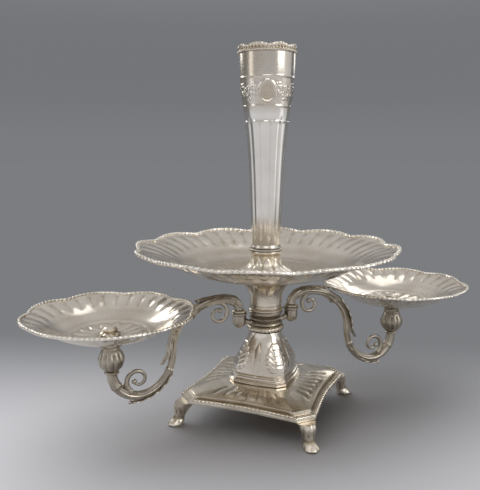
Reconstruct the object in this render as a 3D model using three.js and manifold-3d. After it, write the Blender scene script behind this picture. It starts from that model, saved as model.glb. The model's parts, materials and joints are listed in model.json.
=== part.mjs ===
// A silver plated table centrepiece: a trumpet vase over a wide lobed bowl, on a
// square plinth with four feet, and two scroll arms that each carry a lobed dish.
// Millimetres, +Z up, arms along X. The origin is on the table under the vase.
import * as THREE from "three";
import { mergeVertices } from "three/addons/utils/BufferGeometryUtils.js";
import Module from "manifold-3d";

const wasm = await Module();
wasm.setup();

// Driving dimensions
const TOTAL_HEIGHT = 400;
const ARM_REACH = 173;
const BOWL_RADIUS = 146;
const BOWL_RIM_HEIGHT = 191.5;
const DISH_RADIUS = 88;
const DISH_RIM_HEIGHT = 134.5;
const PLINTH_HALF_DIAGONAL = 107;
const VASE_MOUTH_RADIUS = 29.5;

// Heights where one piece of the column sits on the next
const FOOT_TOP = 26;
const PLINTH_SEAT = 40;
const PEDESTAL_TOP = 94;
const KNOP_TOP = 101;
const COLLAR_TOP = 117;
const BOWL_SEAT = 158;
const SOCKET_TOP = 184;
const VASE_SEAT = 187;
const DISH_SEAT = 107.7;

// Fits and thicknesses
const GAP = 0.3;
const BOWL_WALL = 1.7;
const DISH_WALL = 1.6;
const VASE_WALL = 1.4;
const PEDESTAL_WALL = 2.2;
const ROD_RADIUS = 3;
const ROD_HOLE = ROD_RADIUS + GAP + 0.05;
const STUD_RADIUS = 4;
const STUD_HOLE = STUD_RADIUS + GAP + 0.05;
const PEG_RADIUS = 4.5;
const PEG_BORE = PEG_RADIUS + GAP + 0.05;
const SPIGOT_RADIUS = 12.7;
const SPIGOT_BORE = SPIGOT_RADIUS + GAP + 0.1;

// Lobes and borders
const BOWL_LOBES = 12;
const DISH_LOBES = 8;
const VASE_SCALLOPS = 8;
const STEPS_PER_LOBE = 4;
const BOWL_BORDER = 2.3;
const DISH_BORDER = 1.9;

// Where the arm peg stands in the collar, and the bulb that carries the dish
const PEG_REACH = 32;
const CUP_FOOT = 68;

const TURN = 2 * Math.PI;

const metal = (color, roughness) => new THREE.MeshStandardMaterial({ color, roughness, metalness: 1 });
const silver = metal(0xc9c1b2, 0.22);
const worn = metal(0xb5a68c, 0.34);
const tarnished = metal(0x8c8069, 0.42);
const steel = metal(0x8e8c86, 0.45);
const brass = metal(0xb08d4f, 0.4);

const centrepiece = new THREE.Group();

function add(name, geometry, material, parent = centrepiece) {
  const mesh = new THREE.Mesh(geometry, material);
  mesh.name = name;
  parent.add(mesh);
  return mesh;
}

const mix = (a, b, t) => a + (b - a) * t;
const rise = (t) => THREE.MathUtils.smoothstep(t, 0, 1);

// Skins, from rings of points that follow one another

function signedVolume(vertices, triangles) {
  let sum = 0;
  const corner = (i) => new THREE.Vector3().fromArray(vertices, 3 * i);
  for (let i = 0; i < triangles.length; i += 3) {
    const [a, b, c] = [corner(triangles[i]), corner(triangles[i + 1]), corner(triangles[i + 2])];
    sum += a.dot(b.cross(c));
  }
  return sum / 6;
}

// A closed body through equal rings. A looped one comes round to its first ring
// again, and any other is closed by a fan over its first and its last ring.
function loft(rings, looped = false) {
  const count = rings[0].length;
  const vertices = rings.flat().flatMap((point) => point.toArray());
  const triangles = [];
  const spans = looped ? rings.length : rings.length - 1;
  for (let row = 0; row < spans; row++) {
    const lower = row * count;
    const upper = ((row + 1) % rings.length) * count;
    for (let i = 0; i < count; i++) {
      const j = (i + 1) % count;
      triangles.push(lower + i, lower + j, upper + j, lower + i, upper + j, upper + i);
    }
  }
  if (!looped) {
    closeEnd(vertices, triangles, rings[0], 0, true);
    closeEnd(vertices, triangles, rings.at(-1), (rings.length - 1) * count, false);
  }
  if (signedVolume(vertices, triangles) < 0) triangles.reverse();
  const geometry = new THREE.BufferGeometry();
  geometry.setAttribute("position", new THREE.Float32BufferAttribute(vertices, 3));
  geometry.setIndex(triangles);
  return geometry;
}

function closeEnd(vertices, triangles, ring, first, isStart) {
  const centre = ring.reduce((sum, point) => sum.add(point), new THREE.Vector3());
  centre.divideScalar(ring.length);
  const hub = vertices.length / 3;
  vertices.push(...centre.toArray());
  ring.forEach((_, i) => {
    const a = first + i;
    const b = first + ((i + 1) % ring.length);
    triangles.push(...(isStart ? [hub, b, a] : [hub, a, b]));
  });
}

const evenAngles = (steps) => Array.from({ length: steps }, (_, i) => (i / steps) * TURN);

// A ring round the Z axis whose radius and height may change with the angle.
function polarRing(angles, radius, height) {
  return angles.map((angle) => {
    const r = radius(angle);
    return new THREE.Vector3(r * Math.cos(angle), r * Math.sin(angle), height(angle));
  });
}

// A turned piece, from a profile of [radius, height] pairs round its section.
function turned(pairs, steps = 20, closed = true) {
  const profile = pairs.map(([radius, height]) => new THREE.Vector2(radius, height));
  if (closed) profile.push(profile[0].clone());
  return new THREE.LatheGeometry(profile, steps).rotateX(Math.PI / 2);
}

// Points along a smooth curve through a few [radius, height] pairs.
function smooth(pairs, steps) {
  const curve = new THREE.SplineCurve(pairs.map(([x, y]) => new THREE.Vector2(x, y)));
  return curve.getPoints(steps).map((point) => [point.x, point.y]);
}

// The same line moved sideways by a distance, square to its own direction.
function offset(pairs, distance) {
  return pairs.map(([x, y], i) => {
    const [ax, ay] = pairs[Math.max(i - 1, 0)];
    const [bx, by] = pairs[Math.min(i + 1, pairs.length - 1)];
    const length = Math.hypot(bx - ax, by - ay);
    return [x - ((by - ay) / length) * distance, y + ((bx - ax) / length) * distance];
  });
}

// Booleans

function toSolid(geometry) {
  const bare = geometry.index ? geometry.clone() : mergeVertices(geometry);
  bare.deleteAttribute("normal");
  bare.deleteAttribute("uv");
  const merged = mergeVertices(bare, 1e-4);
  const vertProperties = new Float32Array(merged.attributes.position.array);
  const triVerts = new Uint32Array(merged.index.array);
  return new wasm.Manifold(new wasm.Mesh({ numProp: 3, vertProperties, triVerts }));
}

function toGeometry(solid) {
  const { vertProperties, triVerts } = solid.getMesh();
  const geometry = new THREE.BufferGeometry();
  geometry.setAttribute("position", new THREE.BufferAttribute(vertProperties, 3));
  geometry.setIndex(new THREE.BufferAttribute(triVerts, 1));
  return geometry;
}

const join = (...shapes) => toGeometry(shapes.map(toSolid).reduce((sum, solid) => sum.add(solid)));

function cut(body, ...tools) {
  return toGeometry(tools.map(toSolid).reduce((rest, solid) => rest.subtract(solid), toSolid(body)));
}

const plug = (radius, bottom, top, steps = 16) =>
  new THREE.CylinderGeometry(radius, radius, top - bottom, steps)
    .rotateX(Math.PI / 2)
    .translate(0, 0, (top + bottom) / 2);

// Plans: radius over angle, 1 at the corners

const quarter = TURN / 4;
const halfCorner = TURN / 64;

// The two ends of each cut corner, and steps along the hollowed side between them.
const plinthAngles = [0, 1, 2, 3].flatMap((side) =>
  Array.from({ length: 9 }, (_, i) => side * quarter + mix(halfCorner, quarter - halfCorner, i / 8)),
);

// A square with its corners on the X and Y axes, cut off there, and hollowed sides.
function plinthPlan(angle) {
  const sideHollow = 0.055;
  const fromCorner = Math.abs(angle - quarter * Math.round(angle / quarter));
  if (fromCorner <= halfCorner + 1e-6) return Math.cos(halfCorner) / Math.cos(fromCorner);
  const flat = Math.cos(quarter / 2 - halfCorner) / Math.cos(quarter / 2 - fromCorner);
  const along = (fromCorner - halfCorner) / (quarter - 2 * halfCorner);
  return flat * (1 - sideHollow * Math.sin(Math.PI * along));
}

// A square with well rounded corners on the X and Y axes.
function softSquarePlan(angle) {
  const power = 4;
  const size = (a) => (Math.abs(Math.cos(a)) ** power + Math.abs(Math.sin(a)) ** power) ** (-1 / power);
  return size(angle - TURN / 8) / size(TURN / 8);
}

// 1 on the crown of a lobe and 0 in the notch beside it.
const lobeWave = (lobes) => (angle) => Math.abs(Math.cos((lobes * angle) / 2));

// Base

// Each row is the half diagonal, the height and how far the plan has become round.
function plinth() {
  const rows = [
    [PLINTH_HALF_DIAGONAL, FOOT_TOP, 0],
    [PLINTH_HALF_DIAGONAL, FOOT_TOP + 4, 0],
    [PLINTH_HALF_DIAGONAL - 3, FOOT_TOP + 5.5, 0],
    [PLINTH_HALF_DIAGONAL - 8, FOOT_TOP + 5.8, 0],
    [PLINTH_HALF_DIAGONAL - 10, FOOT_TOP + 8, 0],
    [PLINTH_HALF_DIAGONAL - 24, FOOT_TOP + 11, 0.1],
    [64, PLINTH_SEAT - 1.5, 0.45],
    [47, PLINTH_SEAT, 1],
    [ROD_HOLE, PLINTH_SEAT, 1],
    [ROD_HOLE, PLINTH_SEAT - 2.2, 1],
    [46, PLINTH_SEAT - 2.6, 1],
    [66, FOOT_TOP + 8.8, 0.5],
    [78, FOOT_TOP + 6, 0.35],
    [80, FOOT_TOP, 0.35],
  ];
  const rings = rows.map(([size, height, round]) =>
    polarRing(
      plinthAngles,
      (angle) => size * mix(plinthPlan(angle), 1, round),
      () => height,
    ),
  );
  return loft(rings, true);
}

// A cast foot that swells at the knee, thins at the ankle and turns its toe out.
// Each row is the height, the reach of its middle, and its two half widths.
function foot() {
  const rows = [
    [0, 105.5, 7.5, 7.5],
    [2, 106, 9, 8.5],
    [5, 104.5, 8, 7.5],
    [9, 102, 6.2, 5.8],
    [15, 100, 7.6, 6.8],
    [21, 97.5, 10.8, 9],
    [FOOT_TOP - GAP, 94, 12, 10.3],
  ];
  const points = 16;
  const knee = 15;
  return loft(
    rows.map(([height, reach, along, across]) => {
      const flutes = height >= knee || height < 6 ? 0.07 : 0;
      return Array.from({ length: points }, (_, i) => {
        const angle = (i / points) * TURN;
        const outward = Math.max(Math.cos(angle), 0);
        const swell = 1 - flutes * outward * (1 - Math.abs(Math.cos(4.5 * angle)));
        return new THREE.Vector3(
          reach + along * swell * Math.cos(angle),
          across * swell * Math.sin(angle),
          height,
        );
      });
    }),
  );
}

const washer = () =>
  turned(
    [
      [ROD_HOLE, 34.7],
      [14, 34.7],
      [14.5, 35.2],
      [14, 37.4],
      [ROD_HOLE, 37.4],
    ],
    16,
  );

// The nut's two wings are one flat plate with a rounded bow outline.
function wingNut() {
  const bow = new THREE.Shape();
  bow.moveTo(0, 0);
  bow.lineTo(7, 0);
  bow.bezierCurveTo(15, 0, 18, -9, 12, -9.5);
  bow.quadraticCurveTo(8, -9.5, 6, -6);
  bow.lineTo(-6, -6);
  bow.quadraticCurveTo(-8, -9.5, -12, -9.5);
  bow.bezierCurveTo(-18, -9, -15, 0, -7, 0);
  const wings = new THREE.ExtrudeGeometry(bow, { depth: 2.6, bevelEnabled: false, curveSegments: 5 });
  wings.translate(0, 0, -1.3).rotateX(Math.PI / 2).translate(0, 0, 33.2);
  const hub = turned(
    [
      [0, 25.4],
      [5.4, 25.4],
      [7, 34.4],
      [0, 34.4],
    ],
    16,
    false,
  );
  return cut(join(hub, wings), plug(ROD_HOLE, 15, 45));
}

// Column

const PEDESTAL_STEPS = 32;

// A bell that starts square over the plinth and is round by the time it meets the knop.
function pedestal() {
  const bottom = PLINTH_SEAT + GAP;
  const outside = [
    [41.5, bottom, 0],
    [41.5, bottom + 3.5, 0],
    [39.2, bottom + 5.5, 0],
    [38, bottom + 12, 0],
    [34.8, 62, 0.06],
    [30.2, 71, 0.2],
    [25, 80, 0.45],
    [20.8, 88, 0.75],
    [18.6, PEDESTAL_TOP, 1],
  ];
  const inside = outside
    .filter((_, i) => i > 2 && i < 8 && i % 2)
    .reverse()
    .map(([size, height, round]) => [size - PEDESTAL_WALL, height - 2, round]);
  const rows = [
    ...outside,
    [ROD_HOLE, PEDESTAL_TOP, 1],
    [ROD_HOLE, PEDESTAL_TOP - 2.6, 1],
    ...inside,
    [41.5 - PEDESTAL_WALL, bottom, 0],
  ];
  return loft(
    rows.map(([size, height, round]) =>
      polarRing(
        evenAngles(PEDESTAL_STEPS),
        (angle) => size * mix(softSquarePlan(angle), 1, round),
        () => height,
      ),
    ),
    true,
  );
}

function knop() {
  const bottom = PEDESTAL_TOP + GAP;
  const middle = (bottom + KNOP_TOP) / 2;
  const bead = (KNOP_TOP - bottom) / 2 - 0.7;
  const arc = new THREE.Path().absarc(18.2, middle, bead, -Math.PI / 2, Math.PI / 2, false);
  const round = arc.getPoints(2).map((point) => [point.x, point.y]);
  return turned([[ROD_HOLE, bottom], [17.2, bottom], ...round, [17.2, KNOP_TOP], [ROD_HOLE, KNOP_TOP]]);
}

function socketCup(side) {
  const cup = turned(
    [
      [0, KNOP_TOP - 2],
      [3.4, KNOP_TOP - 1],
      [7, KNOP_TOP + 3],
      [7.4, COLLAR_TOP - 4],
      [8.6, COLLAR_TOP - 2.4],
      [8.6, COLLAR_TOP - 0.6],
      [8, COLLAR_TOP],
      [0, COLLAR_TOP],
    ],
    14,
    false,
  );
  return cup.translate(side * PEG_REACH, 0, 0);
}

function collar() {
  const bottom = KNOP_TOP + GAP;
  const hub = turned([
    [ROD_HOLE, bottom],
    [17.4, bottom],
    [18.8, bottom + 1.6],
    [17.2, bottom + 4],
    [17.2, COLLAR_TOP - 4.5],
    [19, COLLAR_TOP - 2],
    [18, COLLAR_TOP],
    [ROD_HOLE, COLLAR_TOP],
  ]);
  const web = new THREE.Shape();
  web.moveTo(-PEG_REACH, 106);
  web.quadraticCurveTo(-21, 103.5, -14, 103);
  web.lineTo(14, 103);
  web.quadraticCurveTo(21, 103.5, PEG_REACH, 106);
  web.lineTo(PEG_REACH, 113.5);
  web.quadraticCurveTo(21, 111, 14, 114.5);
  web.lineTo(-14, 114.5);
  web.quadraticCurveTo(-21, 111, -PEG_REACH, 113.5);
  const bar = new THREE.ExtrudeGeometry(web, { depth: 7, bevelEnabled: false, curveSegments: 3 });
  bar.translate(0, 0, -3.5).rotateX(Math.PI / 2);
  const bores = [-1, 1].map((side) => plug(PEG_BORE, KNOP_TOP + 2, 130).translate(side * PEG_REACH, 0, 0));
  return cut(join(hub, bar, socketCup(-1), socketCup(1)), plug(ROD_HOLE, 90, 130), ...bores);
}

function bowlSupport() {
  const bottom = COLLAR_TOP + GAP;
  const outside = smooth(
    [
      [17.6, bottom + 3],
      [17.4, 128],
      [19, 138],
      [25.5, 148],
      [40, BOWL_SEAT - 2],
    ],
    5,
  );
  return turned([
    [ROD_HOLE, bottom],
    [18.6, bottom],
    [19.4, bottom + 1.5],
    ...outside,
    [42, BOWL_SEAT - 1.2],
    [42, BOWL_SEAT],
    [ROD_HOLE, BOWL_SEAT],
  ]);
}

const tieRod = () =>
  turned(
    [
      [0, 22],
      [ROD_RADIUS - 0.8, 22],
      [ROD_RADIUS, 22.8],
      [ROD_RADIUS, 164.2],
      [ROD_RADIUS - 0.8, 165],
      [0, 165],
    ],
    14,
    false,
  );

// Lobed bowls and dishes, with their applied borders

// How much of the lobing a point of the profile takes, by its share of the rim radius.
const lobeWeight = (share) => rise((share - 0.42) / 0.58);

const NOTCH_DEPTH = 0.045;
const NOTCH_DROP = 0.02;

function lobedRing(lobes, radius, height, rimRadius) {
  const wave = lobeWave(lobes);
  const weight = lobeWeight(radius / rimRadius);
  return polarRing(
    evenAngles(lobes * STEPS_PER_LOBE),
    (angle) => radius * (1 - NOTCH_DEPTH * weight * (1 - wave(angle))),
    (angle) => height - rimRadius * NOTCH_DROP * weight * (1 - wave(angle)),
  );
}

function lobedShell(lobes, underside, wall, hole, rimRadius) {
  const inside = offset(underside, wall).reverse();
  const seat = underside[0][1];
  const rows = [[hole, seat], ...underside, ...inside, [hole, seat + wall]];
  return loft(
    rows.map(([radius, height]) => lobedRing(lobes, radius, height, rimRadius)),
    true,
  );
}

function lobedBorder(lobes, rimRadius, height, thickness) {
  const sides = 5;
  const middle = rimRadius - thickness;
  const rings = Array.from({ length: sides }, (_, i) => {
    const angle = ((i + 0.5) / sides) * TURN;
    const radius = middle + thickness * Math.cos(angle);
    return lobedRing(lobes, radius, height + thickness * Math.sin(angle), rimRadius);
  });
  return loft(rings, true);
}

function bowl() {
  const edge = BOWL_RADIUS - 2 * BOWL_BORDER - GAP;
  const underside = smooth(
    [
      [41, BOWL_SEAT + GAP],
      [66, BOWL_SEAT + 2],
      [90, 166],
      [108, 175.5],
      [122, 182.5],
      [edge, BOWL_RIM_HEIGHT - BOWL_BORDER - 2.4],
    ],
    5,
  );
  return lobedShell(BOWL_LOBES, underside, BOWL_WALL, ROD_HOLE, BOWL_RADIUS);
}

function dish() {
  const edge = DISH_RADIUS - 2 * DISH_BORDER - GAP;
  const underside = smooth(
    [
      [20, DISH_SEAT + GAP],
      [40, 110],
      [56, 116.5],
      [70, 126],
      [edge, DISH_RIM_HEIGHT - DISH_BORDER - 2],
    ],
    4,
  );
  return lobedShell(DISH_LOBES, underside, DISH_WALL, STUD_HOLE, DISH_RADIUS);
}

// Vase

function vaseSocket() {
  const bottom = BOWL_SEAT + GAP + BOWL_WALL + GAP;
  return turned([
    [0, 165.3],
    [ROD_HOLE, 165.3],
    [ROD_HOLE, bottom],
    [27, bottom],
    [27.6, bottom + 1.4],
    [20, bottom + 4],
    [16.2, bottom + 8],
    [15.8, SOCKET_TOP - 4],
    [17.6, SOCKET_TOP - 2],
    [17.6, SOCKET_TOP],
    [SPIGOT_BORE, SOCKET_TOP],
    [SPIGOT_BORE, 168],
    [0, 168],
  ], 20, false);
}

const spigot = () =>
  turned(
    [
      [0, 168.3],
      [SPIGOT_RADIUS - 1, 168.3],
      [SPIGOT_RADIUS, 169.3],
      [SPIGOT_RADIUS, SOCKET_TOP + GAP],
      [17.4, SOCKET_TOP + GAP],
      [18.4, SOCKET_TOP + 1.6],
      [17.4, VASE_SEAT],
      [0, VASE_SEAT],
    ],
    20,
    false,
  );

const vaseSide = (steps) =>
  smooth(
    [
      [15.2, VASE_SEAT + 4],
      [16.3, 212],
      [18.3, 262],
      [20.9, 300],
      [25.4, 338],
      [28.6, 366],
      [VASE_MOUTH_RADIUS, 391],
    ],
    steps,
  );

function vase() {
  const outside = vaseSide(8);
  const inside = offset(vaseSide(5), VASE_WALL).reverse();
  const bottom = VASE_SEAT + GAP;
  return turned([[0, bottom], [16.4, bottom], ...outside, ...inside, [0, VASE_SEAT + 4]], 24, false);
}

// The border stands on the mouth and its scallops rise between shallow notches.
function vaseRim() {
  const bottom = 391 + GAP;
  const tip = TOTAL_HEIGHT;
  const wave = lobeWave(VASE_SCALLOPS);
  const rows = [
    [VASE_MOUTH_RADIUS - 2, bottom, 0],
    [VASE_MOUTH_RADIUS + 0.6, bottom, 0],
    [VASE_MOUTH_RADIUS + 1.4, bottom + 2.4, 0.3],
    [VASE_MOUTH_RADIUS + 0.8, bottom + 4.6, 0.6],
    [VASE_MOUTH_RADIUS + 1.2, tip - 0.6, 1],
    [VASE_MOUTH_RADIUS, tip, 1],
    [VASE_MOUTH_RADIUS - 1.4, tip - 1.4, 0.9],
  ];
  const drop = 2.2;
  return loft(
    rows.map(([radius, height, weight]) =>
      polarRing(
        evenAngles(VASE_SCALLOPS * STEPS_PER_LOBE),
        () => radius,
        (angle) => height - drop * weight * (1 - wave(angle)),
      ),
    ),
    true,
  );
}

// Scroll arms, drawn for the side where X is positive

// The middle line of the arm, as reach and height, in four quarters of ellipses that run
// into one another: up from its peg to the crest of an arch, down beside the plinth, into
// a dip and up to the bulb.
const ARM_FOOT = 120.2;
const CREST = [52, 134];
const FALL = [108, 84];
const DIP = [144.5, 40];
const armPath = new THREE.Path()
  .moveTo(PEG_REACH, ARM_FOOT)
  .absellipse(CREST[0], ARM_FOOT, CREST[0] - PEG_REACH, CREST[1] - ARM_FOOT, Math.PI, Math.PI / 2, true)
  .absellipse(CREST[0], FALL[1], FALL[0] - CREST[0], CREST[1] - FALL[1], Math.PI / 2, 0, true)
  .absellipse(DIP[0], FALL[1], DIP[0] - FALL[0], FALL[1] - DIP[1], Math.PI, Math.PI * 1.5)
  .absellipse(DIP[0], CUP_FOOT, ARM_REACH - DIP[0], CUP_FOOT - DIP[1], Math.PI * 1.5, TURN);
const upright = ({ x, y }) => new THREE.Vector3(x, 0, y);
const armPlace = (t) => upright(armPath.getPointAt(t));
const armHeading = (t) => upright(armPath.getTangentAt(t));

// An oval section square to a line in the XZ plane.
function sectionAt(point, tangent, thick, wide, points) {
  const side = new THREE.Vector3(-tangent.z, 0, tangent.x);
  return Array.from({ length: points }, (_, i) => {
    const angle = ((i + 0.5) / points) * TURN;
    return point
      .clone()
      .addScaledVector(side, thick * Math.cos(angle))
      .add(new THREE.Vector3(0, wide * Math.sin(angle), 0));
  });
}

function armStem() {
  const steps = 26;
  const rings = Array.from({ length: steps + 1 }, (_, i) => {
    const t = i / steps;
    const swell = Math.sin(Math.PI * t) ** 2;
    const thick = mix(5.6, 4.1, swell);
    return sectionAt(armPlace(t), armHeading(t), thick, thick * 1.12, 7);
  });
  return loft(rings);
}

// A tendril that leaves a point and winds inward by a steady share each turn.
function volute(centre, startRadius, startAngle, turns, thickness) {
  const steps = Math.round(11 * Math.abs(turns));
  const shrink = 0.36;
  const place = (t) => {
    const angle = startAngle + turns * TURN * t;
    const radius = startRadius * shrink ** (Math.abs(turns) * t);
    return new THREE.Vector3(centre[0] + radius * Math.cos(angle), 0, centre[1] + radius * Math.sin(angle));
  };
  const nudge = 1e-3;
  const rings = Array.from({ length: steps + 1 }, (_, i) => {
    const t = i / steps;
    const tangent = place(t + nudge).sub(place(t - nudge)).normalize();
    const thick = thickness * mix(1, 0.55, t);
    return sectionAt(place(t), tangent, thick, thick * 1.15, 6);
  });
  const eye = new THREE.SphereGeometry(thickness * 1.05, 6, 4);
  eye.translate(...place(1).toArray());
  return join(loft(rings), eye);
}

// The stem and two tendrils, one under the arch and one inside the dip.
function arm() {
  return join(
    armStem(),
    volute([57, 117.5], 14.5, 1.15, 1.15, 2.6),
    volute([146, 57.5], 14, -1.0, 1.1, 2.4),
  );
}

const armPeg = () =>
  turned(
    [
      [0, KNOP_TOP + 2.6],
      [PEG_RADIUS - 0.9, KNOP_TOP + 2.6],
      [PEG_RADIUS - 0.3, KNOP_TOP + 3.6],
      [PEG_RADIUS, COLLAR_TOP + GAP],
      [7.6, COLLAR_TOP + GAP],
      [8, COLLAR_TOP + 1.2],
      [6.6, COLLAR_TOP + 2.8],
      [0, COLLAR_TOP + 2.8],
    ],
    16,
    false,
  ).translate(PEG_REACH, 0, 0);

// A cast leaf laid along the fall of the arm, with a lobed edge and a tip that lifts.
function armLeaf() {
  const steps = 12;
  const lift = 5.6;
  const half = 8.6;
  const thickness = 1.5;
  const rings = Array.from({ length: steps + 1 }, (_, i) => {
    const t = i / steps;
    const at = mix(0.33, 0.58, t);
    const tangent = armHeading(at);
    const out = new THREE.Vector3(tangent.z, 0, -tangent.x).negate();
    const curl = 7 * t ** 4;
    const width = half * Math.sin(Math.PI * mix(0.1, 0.96, t)) ** 0.7 * (0.86 + 0.14 * Math.cos(TURN * 4 * t));
    const middle = armPlace(at).addScaledVector(out, lift + curl);
    const place = (across, up) =>
      middle
        .clone()
        .add(new THREE.Vector3(0, across * width, 0))
        .addScaledVector(out, up - 1.8 * across * across * (1 - t));
    return [place(-1, 0), place(-0.5, thickness), place(0, thickness * 1.5), place(0.5, thickness)]
      .concat([place(1, 0), place(0.5, -0.1), place(0, 0), place(-0.5, -0.1)]);
  });
  return loft(rings);
}

function dishCup() {
  const outside = smooth(
    [
      [6.2, CUP_FOOT + 3.5],
      [11.4, 76],
      [13.6, 84],
      [11, 91.5],
      [8.2, 97],
      [10.6, 102.5],
      [15, 105.6],
    ],
    8,
  );
  const body = turned(
    [
      [0, CUP_FOOT + GAP],
      [7.2, CUP_FOOT + GAP],
      [7.6, CUP_FOOT + 2],
      ...outside,
      [15, DISH_SEAT],
      [STUD_HOLE, DISH_SEAT],
      [STUD_HOLE, 94],
      [0, 94],
    ],
    14,
    false,
  );
  return body.translate(ARM_REACH, 0, 0);
}

const dishStud = () =>
  turned(
    [
      [0, 94.4],
      [STUD_RADIUS - 0.8, 94.4],
      [STUD_RADIUS, 95.2],
      [STUD_RADIUS, 113.4],
      [STUD_RADIUS - 0.8, 114.2],
      [0, 114.2],
    ],
    14,
    false,
  );

function dishBoss() {
  const bottom = DISH_SEAT + GAP + DISH_WALL + GAP;
  return turned(
    [
      [0, 114.6],
      [STUD_HOLE, 114.6],
      [STUD_HOLE, bottom],
      [10, bottom],
      [10.6, bottom + 1.3],
      [7, bottom + 2.6],
      [7.4, bottom + 4.6],
      [5.6, bottom + 7],
      [0, bottom + 8],
    ],
    14,
    false,
  );
}

// Assembly

add("base_plinth", plinth(), worn);
["right", "back", "left", "front"].forEach((side, i) => {
  add(`foot_${side}`, foot(), worn).rotation.z = (i * TURN) / 4;
});
add("base_washer", washer(), brass);
add("base_wing_nut", wingNut(), brass);
add("tie_rod", tieRod(), steel);
add("pedestal", pedestal(), silver);
add("column_knop", knop(), worn);
add("branch_collar", collar(), tarnished);
add("bowl_support", bowlSupport(), worn);
add("bowl", bowl(), silver);
const bowlBorderHeight = BOWL_RIM_HEIGHT - BOWL_BORDER;
add("bowl_rim", lobedBorder(BOWL_LOBES, BOWL_RADIUS, bowlBorderHeight, BOWL_BORDER), worn);
add("vase_socket", vaseSocket(), worn);
add("vase_spigot", spigot(), tarnished);
add("vase", vase(), silver);
add("vase_rim", vaseRim(), worn);

for (const side of ["left", "right"]) {
  const branch = new THREE.Group();
  branch.rotation.z = side === "left" ? Math.PI : 0;
  centrepiece.add(branch);
  add(`arm_${side}`, arm(), tarnished, branch);
  add(`arm_peg_${side}`, armPeg(), worn, branch);
  add(`arm_leaf_${side}`, armLeaf(), worn, branch);
  add(`dish_cup_${side}`, dishCup(), tarnished, branch);
  const plate = new THREE.Group();
  plate.position.x = ARM_REACH;
  branch.add(plate);
  const borderHeight = DISH_RIM_HEIGHT - DISH_BORDER;
  add(`dish_${side}`, dish(), silver, plate);
  add(`dish_rim_${side}`, lobedBorder(DISH_LOBES, DISH_RADIUS, borderHeight, DISH_BORDER), worn, plate);
  add(`dish_stud_${side}`, dishStud(), steel, plate);
  add(`dish_boss_${side}`, dishBoss(), worn, plate);
}

export default centrepiece;
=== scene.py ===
"""Dresses the table centrepiece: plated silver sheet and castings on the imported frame.

Every piece here stands for nodes of the frame and takes its size and place from them.
Lengths are metres, +Z is up and the two arms reach along X.
"""

import json
import logging
import math
from dataclasses import dataclass, field
from enum import Enum
from typing import Callable, Sequence

import bmesh
import bpy
import numpy as np
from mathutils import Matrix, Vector

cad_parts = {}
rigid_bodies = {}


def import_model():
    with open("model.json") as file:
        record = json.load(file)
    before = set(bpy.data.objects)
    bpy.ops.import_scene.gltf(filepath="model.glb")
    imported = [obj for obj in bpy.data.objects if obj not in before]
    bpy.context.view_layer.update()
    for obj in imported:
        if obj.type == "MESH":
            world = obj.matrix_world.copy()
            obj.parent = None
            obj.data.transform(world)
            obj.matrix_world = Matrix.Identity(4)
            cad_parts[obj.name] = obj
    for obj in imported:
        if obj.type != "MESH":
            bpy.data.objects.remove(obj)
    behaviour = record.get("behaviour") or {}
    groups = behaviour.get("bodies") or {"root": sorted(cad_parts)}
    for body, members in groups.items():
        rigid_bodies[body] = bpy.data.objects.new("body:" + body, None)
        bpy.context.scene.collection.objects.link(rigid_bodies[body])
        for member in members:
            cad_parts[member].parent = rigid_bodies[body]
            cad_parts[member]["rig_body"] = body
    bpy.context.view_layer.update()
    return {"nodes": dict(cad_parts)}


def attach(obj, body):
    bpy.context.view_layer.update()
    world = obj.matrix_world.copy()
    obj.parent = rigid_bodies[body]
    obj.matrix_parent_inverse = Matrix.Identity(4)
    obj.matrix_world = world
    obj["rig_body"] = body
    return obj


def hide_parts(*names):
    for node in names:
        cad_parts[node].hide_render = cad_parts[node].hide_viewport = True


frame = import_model()

log = logging.getLogger("centrepiece")
MM = 0.001
TURN = 2 * math.pi
Pair = tuple[float, float]
Triple = tuple[float, float, float]
Test = Callable[[Vector], bool]
Weight = Callable[[Vector], float]
Thing = bpy.types.Object
Socket = bpy.types.NodeSocket


class Slot(Enum):
    """The record's material slots."""

    SILVER = "silver"
    WORN = "worn_silver"
    TARNISHED = "tarnished_silver"
    STEEL = "steel"
    BRASS = "brass"


# Small sums


def mix(a: float, b: float, t: float) -> float:
    """The value a share t of the way from a to b."""
    return a + (b - a) * t


def ease(t: float) -> float:
    """A smooth step from 0 at t = 0 to 1 at t = 1."""
    t = min(max(t, 0.0), 1.0)
    return t * t * (3 - 2 * t)


def between(value: float, low: float, high: float, soft: float) -> float:
    """1 between low and high, falling to 0 over a soft margin outside them."""
    return ease((value - low + soft) / soft) * ease((high + soft - value) / soft)


def bell(value: float, middle: float, width: float) -> float:
    """1 at the middle and next to nothing two widths away from it."""
    return math.exp(-(((value - middle) / width) ** 2))


def angle_of(place: Vector) -> float:
    """The angle of a place round the Z axis."""
    return math.atan2(place.y, place.x)


def reach_of(place: Vector) -> float:
    """The distance of a place from the Z axis."""
    return math.hypot(place.x, place.y)


def crown(count: float, angle: float) -> float:
    """1 on each of count crowns round a circle and 0 in the sharp notches between them."""
    return abs(math.cos(count * angle / 2))


def furrowed(count: float, place: Vector) -> float:
    """0 on each of count crowns round the Z axis and 1 in the sharp notches between them."""
    return 1 - crown(count, angle_of(place))


def catmull(a: float, b: float, c: float, d: float, t: float) -> float:
    """One coordinate of a Catmull-Rom curve, a share t of the way from b to c."""
    v0, v1 = (c - a) / 2, (d - b) / 2
    return (2 * b - 2 * c + v0 + v1) * t**3 + (-3 * b + 3 * c - 2 * v0 - v1) * t**2 + v0 * t + b


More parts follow.
